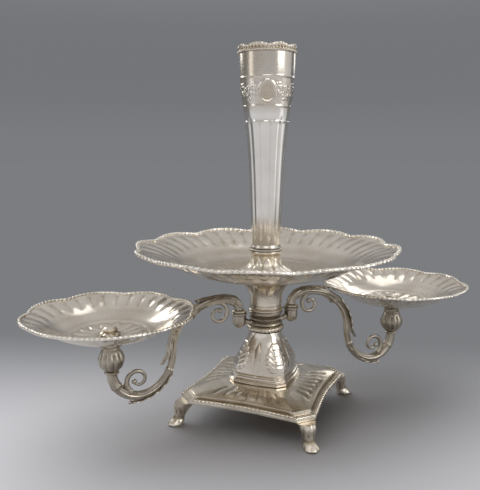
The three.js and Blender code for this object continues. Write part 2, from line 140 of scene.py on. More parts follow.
def smooth_line(points: Sequence[Sequence[float]], steps: int) -> list[tuple[float, ...]]:
    """Points on a smooth line through a few points.

    Args:
        points: the points that the line passes through.
        steps: how many stretches the whole line is divided into.

    Returns:
        steps + 1 points.
    """
    line = []
    last = len(points) - 1
    for i in range(steps + 1):
        place = i * last / steps
        k = min(int(place), last - 1)
        t = place - k
        p0, p1 = points[max(k - 1, 0)], points[k]
        p2, p3 = points[k + 1], points[min(k + 2, last)]
        line.append(tuple(catmull(a, b, c, d, t) for a, b, c, d in zip(p0, p1, p2, p3)))
    return line


def in_metres(line: Sequence[Pair]) -> list[Pair]:
    """The same line, from millimetres."""
    return [(a * MM, b * MM) for a, b in line]


def flat(reach: float, height: float) -> Vector:
    """A point in millimetres of a line that is drawn flat, with its height along Y."""
    return Vector((reach * MM, height * MM, 0))


# Working on objects


def clear_selection() -> None:
    """Leaves edit mode and deselects every object."""
    active = bpy.context.view_layer.objects.active
    if active and active.mode != "OBJECT":
        bpy.ops.object.mode_set(mode="OBJECT")
    bpy.ops.object.select_all(action="DESELECT")


def choose(*things: Thing) -> None:
    """Selects these objects alone and makes the first of them active.

    Args:
        things: the objects.
    """
    clear_selection()
    for thing in things:
        thing.select_set(True)
    bpy.context.view_layer.objects.active = things[0]


def edit(thing: Thing, take: str = "DESELECT") -> None:
    """Opens the object in edit mode, with nothing of it selected unless take is SELECT.

    Args:
        thing: the object.
        take: SELECT for all of it or DESELECT for nothing.
    """
    choose(thing)
    bpy.ops.object.mode_set(mode="EDIT")
    bpy.ops.mesh.select_mode(type="VERT")
    bpy.ops.mesh.select_all(action=take)


def leave(thing: Thing) -> Thing:
    """Leaves edit mode and gives the object back."""
    bpy.ops.object.mode_set(mode="OBJECT")
    return thing


def pick(thing: Thing, test: Test) -> None:
    """Selects the vertices in edit mode whose place passes a test, and nothing else.

    Args:
        thing: the object.
        test: what a vertex's place has to pass.
    """
    mesh = bmesh.from_edit_mesh(thing.data)
    mesh.select_mode = {"VERT"}
    for vertex in mesh.verts:
        vertex.select = test(vertex.co)
    mesh.select_flush_mode()
    bmesh.update_edit_mesh(thing.data)


def pick_edges(thing: Thing, test: Callable[[bmesh.types.BMEdge], bool]) -> None:
    """Selects the edges in edit mode that pass a test, and nothing else.

    Args:
        thing: the object.
        test: what an edge has to pass.
    """
    bpy.ops.mesh.select_all(action="DESELECT")
    bpy.ops.mesh.select_mode(type="EDGE")
    mesh = bmesh.from_edit_mesh(thing.data)
    for edge in mesh.edges:
        edge.select = test(edge)
    mesh.select_flush_mode()
    bmesh.update_edit_mesh(thing.data)


def bridge(thing: Thing, chosen: Callable[[float], bool]) -> None:
    """Bridges two open edges, which pair up rightly where they don't lie in one plane.

    Args:
        thing: the piece.
        chosen: what the height of an open edge has to pass.
    """
    edit(thing)
    pick_edges(thing, lambda edge: edge.is_boundary and chosen(edge.verts[0].co.z))
    bpy.ops.mesh.bridge_edge_loops()
    leave(thing)


def modify(thing: Thing, kind: str, **settings: object) -> None:
    """Adds a modifier with these settings and applies it to the mesh.

    Args:
        thing: the object.
        kind: the modifier's type.
        settings: its properties.
    """
    choose(thing)
    modifier = thing.modifiers.new(kind.title(), kind)
    for name, value in settings.items():
        setattr(modifier, name, value)
    bpy.ops.object.modifier_apply(modifier=modifier.name)


def thicken(thing: Thing, thickness: float, outward: float = 1.0) -> None:
    """Gives a sheet its thickness, on the side of its normals where outward is 1."""
    modify(thing, "SOLIDIFY", thickness=thickness, offset=outward, use_even_offset=True)


def weigh(thing: Thing, weight: Weight) -> str:
    """Makes a vertex group whose weights, from 0 to 1, follow each vertex's place, and names it.

    Args:
        thing: the object.
        weight: the weight of a place.

    Returns:
        The group's name.
    """
    group = thing.vertex_groups.new(name="amount")
    for vertex in thing.data.vertices:
        amount = weight(vertex.co)
        if amount > 0:
            group.add([vertex.index], min(amount, 1.0), "REPLACE")
    return group.name


def push(thing: Thing, weight: Weight, distance: float, way: str = "NORMAL") -> None:
    """Moves the surface along its normal, or along an axis, by a weighted distance.

    Args:
        thing: the object.
        weight: how much of the distance a place moves.
        distance: how far the surface moves where the weight is 1.
        way: NORMAL, or the axis that it moves along.
    """
    group = weigh(thing, weight)
    modify(thing, "DISPLACE", vertex_group=group, strength=distance, mid_level=0, direction=way)
    thing.vertex_groups.clear()


def draw_in(thing: Thing, weight: Weight, share: float) -> None:
    """Moves the surface towards the Z axis by a weighted share of its distance.

    Args:
        thing: the object.
        weight: how much of the share counts at a place.
        share: the share of its distance that a place moves where the weight is 1.
    """
    group = weigh(thing, weight)
    settings = {"use_x": True, "use_y": True, "use_z": False, "use_radius_as_size": False}
    modify(thing, "CAST", cast_type="CYLINDER", factor=share, size=1e-6, vertex_group=group, **settings)
    thing.vertex_groups.clear()


def settle(thing: Thing) -> Thing:
    """Puts the object at the origin, unturned and unscaled, with its place in its mesh.

    Args:
        thing: the object.

    Returns:
        The same object.
    """
    choose(thing)
    bpy.ops.object.transform_apply(location=True, rotation=True, scale=True)
    return thing


def weld(thing: Thing, distance: float = 1e-6) -> Thing:
    """Merges doubled vertices and turns every face outwards.

    Args:
        thing: the object.
        distance: how near two vertices have to be to become one.

    Returns:
        The same object.
    """
    edit(thing, "SELECT")
    bpy.ops.mesh.remove_doubles(threshold=distance)
    bpy.ops.mesh.normals_make_consistent(inside=False)
    return leave(thing)


def face_towards(thing: Thing, way: Vector) -> None:
    """Flips an open sheet where most of it looks away from a direction.

    Args:
        thing: the sheet.
        way: the direction that it has to face.
    """
    total = sum((face.normal * face.area for face in thing.data.polygons), Vector())
    if total.dot(way) < 0:
        edit(thing, "SELECT")
        bpy.ops.mesh.flip_normals()
        leave(thing)


def named(thing: Thing, name: str) -> Thing:
    """Gives the object and its data one name.

    Args:
        thing: the object.
        name: its new name.

    Returns:
        The same object.
    """
    thing.name = name
    thing.data.name = name
    return thing


def joined(name: str, *things: Thing) -> Thing:
    """Joins separate bodies into one named piece.

    Args:
        name: the piece's name.
        things: the bodies, the first of which takes in the others.

    Returns:
        The piece.
    """
    choose(*things)
    if len(things) > 1:
        bpy.ops.object.join()
    return named(things[0], name)


def copied(thing: Thing, name: str = "copy") -> Thing:
    """A copy of the object, with its own mesh.

    Args:
        thing: the object.
        name: the copy's name.

    Returns:
        The copy.
    """
    choose(thing)
    bpy.ops.object.duplicate()
    return named(bpy.context.object, name)


def removed(*things: Thing) -> None:
    """Deletes helper objects."""
    choose(*things)
    bpy.ops.object.delete()


def moved(thing: Thing, place: Sequence[float]) -> Thing:
    """Moves a settled object and settles it again."""
    thing.location = place
    return settle(thing)


def turned_round(thing: Thing, angle: float) -> Thing:
    """Turns a settled object about the Z axis and settles it again."""
    thing.rotation_euler.z = angle
    return settle(thing)


def stood_up(thing: Thing) -> Thing:
    """Stands up a settled object that was drawn flat, so that its Y becomes height."""
    thing.rotation_euler.x = TURN / 4
    return settle(thing)


def laid_along_x(thing: Thing) -> Thing:
    """Lays a piece that was raised up the Z axis along the X axis."""
    thing.rotation_euler.y = TURN / 4
    return settle(thing)


def round_the_axis(thing: Thing, count: int, name: str) -> Thing:
    """Repeats a settled object at even angles round the Z axis and joins the copies.

    Args:
        thing: the object, which becomes the first of them.
        count: how many there are.
        name: the name of the joined piece.

    Returns:
        The joined piece.
    """
    row = [thing, *(copied(thing) for _ in range(count - 1))]
    for i, piece in enumerate(row):
        turned_round(piece, i * TURN / count)
    return joined(name, *row)


class Ring:
    """A mesh raised by hand from one loop, which is extruded, scaled and moved ring by ring."""

    def __init__(self, name: str, corners: int, radius: float, height: float, filled: bool = False) -> None:
        """Starts with a circle round the Z axis.

        Args:
            name: the object's name.
            corners: how many vertices the loop has.
            radius: the loop's radius.
            height: the loop's height.
            filled: whether a fan of faces closes the first loop.
        """
        clear_selection()
        fill = "TRIFAN" if filled else "NOTHING"
        bpy.ops.mesh.primitive_circle_add(
            vertices=corners, radius=radius, fill_type=fill, location=(0, 0, height)
        )
        self.thing = named(bpy.context.object, name)
        self.radius = radius
        self.height = height
        settle(self.thing)
        edit(self.thing)
        pick(self.thing, lambda place: reach_of(place) > radius / 2)

    def squared(self, corner: float, cuts: int) -> "Ring":
        """Cuts off the corners of a loop of four vertices and divides its long sides.

        Args:
            corner: how far from each corner the cut starts.
            cuts: how many new vertices each long side gets.

        Returns:
            This ring, so that calls can follow one another.
        """
        bpy.ops.mesh.bevel(offset=corner, segments=1, affect="VERTICES")
        long = self.radius * 0.7
        pick_edges(self.thing, lambda edge: edge.calc_length() > long)
        bpy.ops.mesh.subdivide(number_cuts=cuts)
        bpy.ops.mesh.select_all(action="SELECT")
        self.radius = self.furthest()
        return self

    def furthest(self) -> float:
        """The selected loop's furthest reach from the axis."""
        mesh = bmesh.from_edit_mesh(self.thing.data)
        return max(reach_of(vertex.co) for vertex in mesh.verts if vertex.select)

    def ring(self, radius: float, height: float, rounder: float = 0.0) -> "Ring":
        """Extrudes the last loop to a new radius and height.

        Args:
            radius: the new loop's size.
            height: the new loop's height.
            rounder: how far the loop is pulled towards a circle, from 0 to 1.

        Returns:
            This ring, so that calls can follow one another.
        """
        bpy.ops.mesh.extrude_edges_move(TRANSFORM_OT_translate={"value": (0, 0, height - self.height)})
        self.height = height
        return self.shaped(radius, rounder)

    def shaped(self, radius: float, rounder: float = 0.0) -> "Ring":
        """Brings the last loop itself to a size, after pulling it towards a circle.

        Args:
            radius: the size.
            rounder: how far it is pulled, from 0 to 1.

        Returns:
            This ring, so that calls can follow one another.
        """
        middle = (0, 0, self.height)
        if rounder:
            bpy.ops.transform.tosphere(value=rounder, center_override=middle)
            self.radius = self.furthest()
        share = radius / self.radius
        bpy.ops.transform.resize(value=(share, share, 1), center_override=middle)
        self.radius = radius
        return self

    def rings(self, line: Sequence[Pair]) -> "Ring":
        """Extrudes through a line of radius and height pairs.

        Args:
            line: the pairs, in metres.

        Returns:
            This ring, so that calls can follow one another.
        """
        for radius, height in line:
            self.ring(radius, height)
        return self

    def oval(self, along: float, across: float, height: float, shift: float, middle: float) -> "Ring":
        """Extrudes the last loop to an oval, moved out along X.

        Args:
            along: how far the oval grows along X, as a share.
            across: how far it grows along Y, as a share.
            height: the new loop's height.
            shift: how far its middle moves along X.
            middle: the X of its new middle.

        Returns:
            This ring, so that calls can follow one another.
        """
        rise = height - self.height
        bpy.ops.mesh.extrude_edges_move(TRANSFORM_OT_translate={"value": (shift, 0, rise)})
        bpy.ops.transform.resize(value=(along, across, 1), center_override=(middle, 0, height))
        self.height = height
        return self

    def closed(self) -> "Ring":
        """Closes the last loop at its middle.

        Returns:
            This ring, so that calls can follow one another.
        """
        bpy.ops.mesh.extrude_edges_move()
        bpy.ops.mesh.merge(type="CENTER")
        return self

    def done(self) -> Thing:
        """Leaves edit mode and returns the object."""
        return leave(self.thing)


def turned(name: str, line: Sequence[Pair], corners: int = 64) -> Thing:
    """A turned piece that is closed on the axis at both ends.

    Args:
        name: the object's name.
        line: radius and height pairs from one end to the other, in millimetres.
        corners: how many sides the piece has.

    Returns:
        The piece.
    """
    places = in_metres(line)
    ring = Ring(name, corners, *places[0], filled=True)
    return weld(ring.rings(places[1:]).closed().done())


def drilled(name: str, line: Sequence[Pair], corners: int = 64) -> Thing:
    """A turned piece with a hole along its axis.

    Args:
        name: the object's name.
        line: radius and height pairs round its section, in millimetres.
        corners: how many sides the piece has.

    Returns:
        The piece.
    """
    places = in_metres(line)
    ring = Ring(name, corners, *places[0])
    return weld(ring.rings([*places[1:], places[0]]).done())


def line_curve(name: str, points: Sequence[Vector]) -> Thing:
    """A curve along a line of points, drawn by extruding one vertex.

    Args:
        name: the object's name.
        points: the places that it runs through.

    Returns:
        The curve object.
    """
    clear_selection()
    bpy.ops.mesh.primitive_circle_add(vertices=3, radius=MM, location=points[0])
    thing = settle(named(bpy.context.object, name))
    edit(thing, "SELECT")
    bpy.ops.mesh.merge(type="CENTER")
    for a, b in zip(points, points[1:]):
        bpy.ops.mesh.extrude_vertices_move(TRANSFORM_OT_translate={"value": b - a})
    return loop_curve(name, leave(thing))


def loop_curve(name: str, loop: Thing) -> Thing:
    """The curve along a line or loop of edges.

    Args:
        name: the curve's name.
        loop: the edges, which become the curve.

    Returns:
        The curve object.
    """
    choose(loop)
    bpy.ops.object.convert(target="CURVE")
    return named(bpy.context.object, name)


def bent_along(thing: Thing, curve: Thing) -> Thing:
    """Bends a piece that lies along the X axis to follow a curve."""
    modify(thing, "CURVE", object=curve, deform_axis="POS_X")
    return thing


def length_of(curve: Thing) -> float:
    """The length of a curve's one spline."""
    return curve.data.splines[0].calc_length()


# Ornament that repeats


def fluting(count: int, low: float, high: float, soft: float, inner: float) -> Weight:
    """The weight of sharp furrows round a turned piece.

    Args:
        count: how many furrows there are.
        low: the height that they start at, in millimetres.
        high: the height that they end at, in millimetres.
        soft: the height over which they fade, in millimetres.
        inner: the reach below which there are none, in millimetres.

    Returns:
        The weight.
    """
    def furrow(place: Vector) -> float:
        """How deep a place lies in a furrow, from 0 to 1."""
        depth = furrowed(count, place)
        return depth * between(place.z / MM, low, high, soft) * (reach_of(place) > inner * MM)

    return furrow


def bar_along(name: str, path: Thing, corners: int, radii: Sequence[float]) -> Thing:
    """A round bar along a path, closed at both ends.

    Args:
        name: the object's name.
        path: the curve that it follows.
        corners: how many sides it has.
        radii: its radius at even steps along the path, in millimetres.

    Returns:
        The bar.
    """
    last = len(radii) - 1
    length = length_of(path)
    ring = Ring(name, corners, radii[0] * MM, 0, filled=True)
    ring.rings([(radii[i] * MM, i / last * length) for i in range(1, last + 1)])
    return bent_along(laid_along_x(weld(ring.closed().done())), path)


def egg(name: str, length: float, width: float, height: float, slant: float) -> Thing:
    """One egg of a gadrooned border, which lies on the X axis from the origin.

    Args:
        name: the object's name.
        length: the room that it takes along X.
        width: its half width across.
        height: its half height.
        slant: how many degrees it leans.

    Returns:
        The egg.
    """
    clear_selection()
    bpy.ops.mesh.primitive_uv_sphere_add(segments=8, ring_count=6, radius=1)
    thing = named(bpy.context.object, name)
    thing.scale = (length * 0.52, width, height)
    thing.rotation_euler = (0, 0, math.radians(slant))
    thing.location = (length / 2, 0, 0)
    return settle(thing)


def along_curve(unit: Thing, curve: Thing, count: int) -> Thing:
    """Repeats a unit all along a closed curve.

    Args:
        unit: the unit, which starts at the origin and lies along X.
        curve: the curve.
        count: how many units fill it.

    Returns:
        The band of units.
    """
    step = length_of(curve) / count
    offset = {"use_relative_offset": False, "use_constant_offset": True}
    modify(unit, "ARRAY", count=count, constant_offset_displace=(step, 0, 0), **offset)
    return bent_along(unit, curve)


def moulding(name: str, curve: Thing, radius: float) -> Thing:
    """A round moulding along a curve, which it uses up.

    Args:
        name: the moulding's name.
        curve: the curve.
        radius: the moulding's radius.

    Returns:
        The moulding.
    """
    choose(curve)
    curve.data.bevel_depth = radius
    curve.data.bevel_resolution = 2
    bpy.ops.object.convert(target="MESH")
    return weld(named(bpy.context.object, name))


def beaded_ring(name: str, radius: float, height: float, count: int, size: float) -> Thing:
    """A ring of round beads round the Z axis.

    Args:
        name: the object's name.
        radius: the ring's radius in millimetres.
        height: its height in millimetres.
        count: how many beads it has.
        size: each bead's radius in millimetres.

    Returns:
        The beads, joined.
    """
    clear_selection()
    place = (radius * MM, 0, height * MM)
    bpy.ops.mesh.primitive_uv_sphere_add(segments=8, ring_count=6, radius=size * MM, location=place)
    return round_the_axis(settle(named(bpy.context.object, name)), count, name)


@dataclass(frozen=True)
class Leaf:
    """An acanthus leaf of beaten metal, which lies along X with its face to +Y and its width in Z."""

    length: float
    half_width: float
    lobes: int = 5
    thickness: float = 1.1 * MM
    veins: float = 1.1 * MM
    cup: float = 0.3
    columns: int = 44
    rows: int = 18

    def width_at(self, t: float) -> float:
        """The half width a share t along the leaf.

        Args:
            t: the share.

        Returns:
            The half width there.
        """
        body = math.sin(math.pi * mix(0.10, 0.97, max(t, 0.0) ** 0.85)) ** 0.75
        scallop = 0.72 + 0.28 * abs(math.sin(math.pi * self.lobes * t)) ** 0.6
        return self.half_width * body * scallop

    def relief(self, place: Vector) -> float:
        """The height of the midrib and the side veins.

        Args:
            place: a point of the leaf.

        Returns:
            The height, from 0 to 1.
        """
        t = place.x / self.length
        across = abs(place.z) / max(self.width_at(t), 1e-6)
        rib = math.exp(-((across / 0.13) ** 2))
        vein = abs(math.sin(math.pi * self.lobes * (t - 0.13 * across))) ** 0.8
        return max(rib, 0.75 * vein * min(across * 3, 1) * ease((1.15 - across) * 4))

    def cupped(self, place: Vector) -> float:
        """How far a place lies back from the midrib."""
        return (abs(place.z) / self.half_width) ** 2

    def build(self, name: str) -> Thing:
        """Models the leaf.

        Args:
            name: its name.

        Returns:
            The leaf.
        """
        clear_selection()
        bpy.ops.mesh.primitive_grid_add(
            x_subdivisions=self.columns, y_subdivisions=self.rows, size=1,
            location=(self.length / 2, 0, 0), rotation=(TURN / 4, 0, 0),
        )
        leaf = named(bpy.context.object, name)
        leaf.scale = (self.length, 2 * self.half_width, 1)
        settle(leaf)
        edit(leaf)
        for i in range(self.columns + 1):
            x = i * self.length / self.columns
            near = self.length / self.columns / 4
            pick(leaf, lambda place: abs(place.x - x) < near)
            share = self.width_at(i / self.columns) / self.half_width
            bpy.ops.transform.resize(value=(1, 1, share), center_override=(x, 0, 0))
        leave(leaf)
        push(leaf, self.cupped, -self.cup * self.half_width, "Y")
        push(leaf, self.relief, self.veins, "Y")
        face_towards(leaf, Vector((0, 1, 0)))
        thicken(leaf, self.thickness, -1)
        return leaf


# Finishes


def feed(tree: bpy.types.NodeTree, socket: Socket, value: object) -> None:
    """Gives an input a value of its own, or another node's output.

    Args:
        tree: the node tree.
        socket: the input.
        value: a value, or the output that feeds it.
    """
    if isinstance(value, Socket):
        tree.links.new(value, socket)
    else:
        socket.default_value = value


def add_node(
    tree: bpy.types.NodeTree, kind: str, inputs: dict[str | int, object], **settings: object
) -> bpy.types.Node:
    """Adds a shader node.

    Args:
        tree: the node tree.
        kind: its type.
        inputs: a value or an output for each input that is fed, by its name or number.
        settings: its properties.

    Returns:
        The node.
    """
    node = tree.nodes.new(kind)
    for name, value in settings.items():
        setattr(node, name, value)
    for name, value in inputs.items():
        feed(tree, node.inputs[name], value)
    return node


def blended(tree: bpy.types.NodeTree, amount: Socket, base: object, other: object) -> Socket:
    """The colour that lies a share of the way from one colour to another.

    Args:
        tree: the node tree.
        amount: the share.
        base: the colour where the share is 0, or an output that gives it.
        other: the colour where the share is 1, or an output that gives it.

    Returns:
        The colour.
    """
    node = add_node(tree, "ShaderNodeMix", {"Factor": amount}, data_type="RGBA")
    ends = [socket for socket in node.inputs if socket.type == "RGBA"]
    for socket, value in zip(ends, (base, other)):
        feed(tree, socket, value if isinstance(value, Socket) else (*value, 1))
    return next(socket for socket in node.outputs if socket.type == "RGBA")


def ranged(
    tree: bpy.types.NodeTree, value: Socket, low: float, high: float, form: str = "LINEAR"
) -> Socket:
    """Spreads a value between two limits over 0 to 1, and holds it there outside them.

    Args:
        tree: the node tree.
        value: the value.
        low: what becomes 0.
        high: what becomes 1.
        form: how it rises between them.

    Returns:
        The spread value.
    """
    inputs = {"Value": value, "From Min": low, "From Max": high}
    return add_node(tree, "ShaderNodeMapRange", inputs, interpolation_type=form).outputs["Result"]


def lean(
    tree: bpy.types.NodeTree, place: Socket, towards: Sequence[float], low: float, high: float
) -> Socket:
    """How far a place or a view lies in a direction, spread smoothly over 0 to 1.

    Args:
        tree: the node tree.
        place: the place or the view.
        towards: the direction.
        low: the product of the two that becomes 0.
        high: the product of the two that becomes 1.

    Returns:
        The share.
    """
    product = add_node(tree, "ShaderNodeVectorMath", {0: place, 1: towards}, operation="DOT_PRODUCT")
    return ranged(tree, product.outputs["Value"], low, high, "SMOOTHSTEP")


def noise(tree: bpy.types.NodeTree, place: Socket, scale: object, detail: float) -> Socket:
    """A cloudy noise.

    Args:
        tree: the node tree.
        place: its coordinates.
        scale: how many lumps it has in a metre.
        detail: how many finer layers it has.

    Returns:
        The noise, about 0 to 1.
    """
    inputs = {"Vector": place, "Scale": scale, "Detail": detail}
    return add_node(tree, "ShaderNodeTexNoise", inputs).outputs["Fac"]


def sum_of(tree: bpy.types.NodeTree, a: Socket, factor: object, b: object, clamp: bool = False) -> Socket:
    """The value a times a factor plus b.

    Args:
        tree: the node tree.
        a: the value.
        factor: a number, or an output that gives one.
        b: a number, or an output that gives one.
        clamp: whether the sum is kept between 0 and 1.

    Returns:
        The sum.
    """
    inputs = {0: a, 1: factor, 2: b}
    return add_node(tree, "ShaderNodeMath", inputs, operation="MULTIPLY_ADD", use_clamp=clamp).outputs[0]


def new_group(
    name: str, inputs: Sequence[tuple[str, float | None]], outputs: Sequence[str]
) -> tuple[bpy.types.NodeTree, bpy.types.Node, bpy.types.Node]:
    """A shader node group with named sockets.

    Args:
        name: the group's name.
        inputs: the name and default of each input; one without a default is a vector.
        outputs: the names of its number outputs.

    Returns:
        The group, its input node and its output node.
    """
    group = bpy.data.node_groups.new(name, "ShaderNodeTree")
    for label, value in inputs:
        kind = "NodeSocketVector" if value is None else "NodeSocketFloat"
        socket = group.interface.new_socket(label, in_out="INPUT", socket_type=kind)
        if value is not None:
            socket.default_value = value
    for label in outputs:
        group.interface.new_socket(label, in_out="OUTPUT", socket_type="NodeSocketFloat")
    return group, group.nodes.new("NodeGroupInput"), group.nodes.new("NodeGroupOutput")


def tarnish_group() -> bpy.types.NodeTree:
    """The mask of dull metal, which lies in the hollows of the relief and in soft patches.

    Returns:
        The group, built once.
    """
    found = bpy.data.node_groups.get("Tarnish")
    if found:
        return found
    sockets = (("Place", None), ("Patch size", 0.03), ("Amount", 0.3))
    group, start, end = new_group("Tarnish", sockets, ("Mask",))
    place = start.outputs["Place"]
    scale = add_node(group, "ShaderNodeMath", {0: 1, 1: start.outputs["Patch size"]}, operation="DIVIDE")
    patches = ranged(group, noise(group, place, scale.outputs[0], 6), 0.42, 0.72)
    specks = ranged(group, noise(group, place, 900, 3), 0.5, 0.75)
    hollow = add_node(group, "ShaderNodeAttribute", {}, attribute_name="hollow")
    broken = sum_of(group, specks, -0.3, hollow.outputs["Fac"], clamp=True)
    total = sum_of(group, patches, 0.45, broken)
    feed(group, end.inputs["Mask"], sum_of(group, total, start.outputs["Amount"], 0.0, clamp=True))
    return group


def handling_group() -> bpy.types.NodeTree:
    """What years of polishing leave: fine scratches, slow ripples in the sheet and smears.

    Returns:
        The group, built once.
    """
    found = bpy.data.node_groups.get("Handling")
    if found:
        return found
    sockets = (("Place", None), ("Scratches", 0.1), ("Ripple", 0.1))
    group, start, end = new_group("Handling", sockets, ("Height", "Smear"))
    place = start.outputs["Place"]
    stretch = {"Vector": place, "Rotation": (0.4, 0.2, 0.7), "Scale": (80, 1400, 500)}
    drawn_out = add_node(group, "ShaderNodeMapping", stretch).outputs["Vector"]
    fine = sum_of(group, noise(group, drawn_out, 1, 2), start.outputs["Scratches"], 0.0)
    height = sum_of(group, noise(group, place, 55, 1), start.outputs["Ripple"], fine)
    feed(group, end.inputs["Height"], height)
    feed(group, end.inputs["Smear"], ranged(group, noise(group, place, 30, 5), 0.42, 0.8))
    return group


def new_material(name: str) -> bpy.types.Material:
    """An empty node material.

    Args:
        name: its name.

    Returns:
        The material.
    """
    material = bpy.data.materials.new(name)
    material.use_nodes = True
    return material


def shade(material: bpy.types.Material, inputs: dict[str, object]) -> None:
    """Feeds the inputs of a material's shader.

    Args:
        material: the material.
        inputs: a value or an output for each input that is fed.
    """
    shader = material.node_tree.nodes["Principled BSDF"]
    for name, value in inputs.items():
        feed(material.node_tree, shader.inputs[name], value)


@dataclass(frozen=True)
class Finish:
    """A metal finish: its clean and dull colours, its gloss and how it is worn."""

    name: str
    clean: Triple
    dull: Triple
    smoothest: float
    roughest: float
    tarnish: float
    patch_size: float = 0.03
    scratches: float = 0.10
    ripple: float = 0.12

    def material(self) -> bpy.types.Material:
        """Builds the finish as a node material.

        Returns:
            The material.
        """
        material = new_material(self.name)
        tree = material.node_tree
        place = add_node(tree, "ShaderNodeTexCoord", {}).outputs["Object"]
        tarnish = {"Place": place, "Patch size": self.patch_size, "Amount": self.tarnish}
        wear = {"Place": place, "Scratches": self.scratches, "Ripple": self.ripple}
        handled = add_node(tree, "ShaderNodeGroup", wear, node_tree=handling_group()).outputs
        mask = add_node(tree, "ShaderNodeGroup", tarnish, node_tree=tarnish_group()).outputs["Mask"]
        worst = add_node(tree, "ShaderNodeMath", {0: mask, 1: handled["Smear"]}, operation="MAXIMUM")
        gloss = {"Value": worst.outputs[0], "To Min": self.smoothest, "To Max": self.roughest}
        relief = {"Height": handled["Height"], "Strength": 0.4, "Distance": 0.0005}
        shade(material, {
            "Metallic": 1.0,
            "Base Color": blended(tree, mask, self.clean, self.dull),
            "Roughness": add_node(tree, "ShaderNodeMapRange", gloss).outputs["Result"],
            "Normal": add_node(tree, "ShaderNodeBump", relief).outputs["Normal"],
        })
        return material


BRIGHT = Finish("bright_plate", (0.85, 0.83, 0.79), (0.47, 0.38, 0.26), 0.12, 0.32, 0.75, 0.05)
POLISHED = Finish("polished_plate", (0.84, 0.775, 0.68), (0.42, 0.33, 0.21), 0.14, 0.36, 0.6)
RUBBED = Finish("rubbed_edge", (0.88, 0.83, 0.74), (0.36, 0.28, 0.18), 0.16, 0.36, 0.75, 0.02)
CAST = Finish("cast_plate", (0.79, 0.72, 0.605), (0.30, 0.23, 0.14), 0.2, 0.46, 0.95, 0.02)
# Plate for the arms, collar, bulbs and spigot: partly tarnish, partly painted shade; its darker clean
# colour stands in for the shade under the bowl and dishes.
PAINTED_SHADE_PLATE = Finish("plate_with_painted_shade", (0.52, 0.47, 0.39), (0.17, 0.13, 0.09), 0.26, 0.5, 1.0, 0.02)
TURNED_STEEL = Finish("turned_steel", (0.56, 0.55, 0.53), (0.3, 0.28, 0.26), 0.3, 0.5, 0.5)
AGED_BRASS = Finish("aged_brass", (0.69, 0.53, 0.28), (0.36, 0.25, 0.12), 0.28, 0.5, 0.7)


def depth_below_neighbours(mesh: bpy.types.Mesh, rounds: int = 5) -> np.ndarray:
    """How deep each vertex lies below its neighbours, along its normal.

    Args:
        mesh: the finished mesh.
        rounds: how many times the depth is evened out with the neighbours' depth.

    Returns:
        One depth a vertex, in metres.
    """
    count = len(mesh.vertices)
    place = np.empty(count * 3)
    normal = np.empty(count * 3)
    mesh.vertices.foreach_get("co", place)
    mesh.vertices.foreach_get("normal", normal)
    place, normal = place.reshape(-1, 3), normal.reshape(-1, 3)
    edges = np.empty(len(mesh.edges) * 2, dtype=np.int64)
    mesh.edges.foreach_get("vertices", edges)
    a, b = edges.reshape(-1, 2).T
    links = np.bincount(a, minlength=count) + np.bincount(b, minlength=count) + 1e-9
    step = place[b] - place[a]
    depth = np.bincount(a, np.einsum("ij,ij->i", step, normal[a]), count)
    depth = (depth + np.bincount(b, np.einsum("ij,ij->i", -step, normal[b]), count)) / links
    for _ in range(rounds):
        total = np.bincount(a, depth[b], count) + np.bincount(b, depth[a], count)
        depth = 0.4 * depth + 0.6 * total / links
    return depth


@dataclass
class Dresser:
    """Gives each finished piece its material and its body, and hides the nodes it stands for."""

    materials: dict[str, bpy.types.Material] = field(default_factory=dict)

    def material(self, finish: Finish) -> bpy.types.Material:
        """The finish's material, built once.

        Args:
            finish: the finish.

        Returns:
            Its material.
        """
        if finish.name not in self.materials:
            self.materials[finish.name] = finish.material()
        return self.materials[finish.name]

    def dress(
        self, thing: Thing, finish: Finish, slot: Slot, *nodes: str,
        hollow: float = 0.05 * MM, stain: Weight | None = None, crease: float = 35.0,
    ) -> None:
        """Finishes a piece that stands for CAD nodes.

        Args:
            thing: the finished mesh object.
            finish: its finish.
            slot: the record's slot, which is passed on but not used.
            nodes: the nodes that it stands for, the first of which names its body.
            hollow: the depth below its neighbours at which a vertex is fully tarnished.
            stain: how dark a place is by itself, from 0 to 1.
            crease: edges sharper than this many degrees stay sharp.
        """
        settle(thing)
        bpy.ops.object.shade_smooth_by_angle(angle=math.radians(crease))
        depth = np.clip(depth_below_neighbours(thing.data) / hollow, 0, 1)
        if stain:
            depth = np.maximum(depth, [stain(vertex.co) for vertex in thing.data.vertices])
        attribute = thing.data.attributes.new("hollow", "FLOAT", "POINT")
        attribute.data.foreach_set("value", depth.astype(np.float32))
        thing.data.materials.clear()
        thing.data.materials.append(self.material(finish))
        self.ride(thing, slot, *nodes)

    def ride(self, thing: Thing, slot: Slot, *nodes: str) -> None:
        """Puts a dressed piece on its body, in the place of its nodes.

        Args:
            thing: the piece.
            slot: the record's slot; it is not used.
            nodes: the nodes.
        """
        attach(thing, frame["nodes"][nodes[0]]["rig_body"])
        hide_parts(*nodes)
        log.info("%s: %d faces for %s", thing.name, len(thing.data.polygons), ", ".join(nodes))

    def pair(self, thing: Thing, finish: Finish, slot: Slot, *bases: str) -> None:
        """Dresses a piece of the right arm, and a copy of it turned half round for the left arm.

        Args:
            thing: the finished mesh object, in its place on the right.
            finish: its finish.
            slot: the record's slot, which is passed on but not used.
            bases: the names of the nodes that it stands for, without their side.
        """
        name = thing.name
        left = turned_round(copied(thing, f"{name}_left"), TURN / 2)
        self.dress(named(thing, f"{name}_right"), finish, slot, *(f"{b}_right" for b in bases))
        self.dress(left, finish, slot, *(f"{b}_left" for b in bases))

    def coat(self, finish: Finish, *nodes: str) -> None:
        """Gives CAD nodes that keep their own shape a finish.

        Args:
            finish: the finish.
            nodes: the nodes' names.
        """
        for node in nodes:
            thing = frame["nodes"][node]
            for i in range(len(thing.material_slots)):
                thing.material_slots[i].material = self.material(finish)
            log.info("%s keeps its own shape", node)


# Base


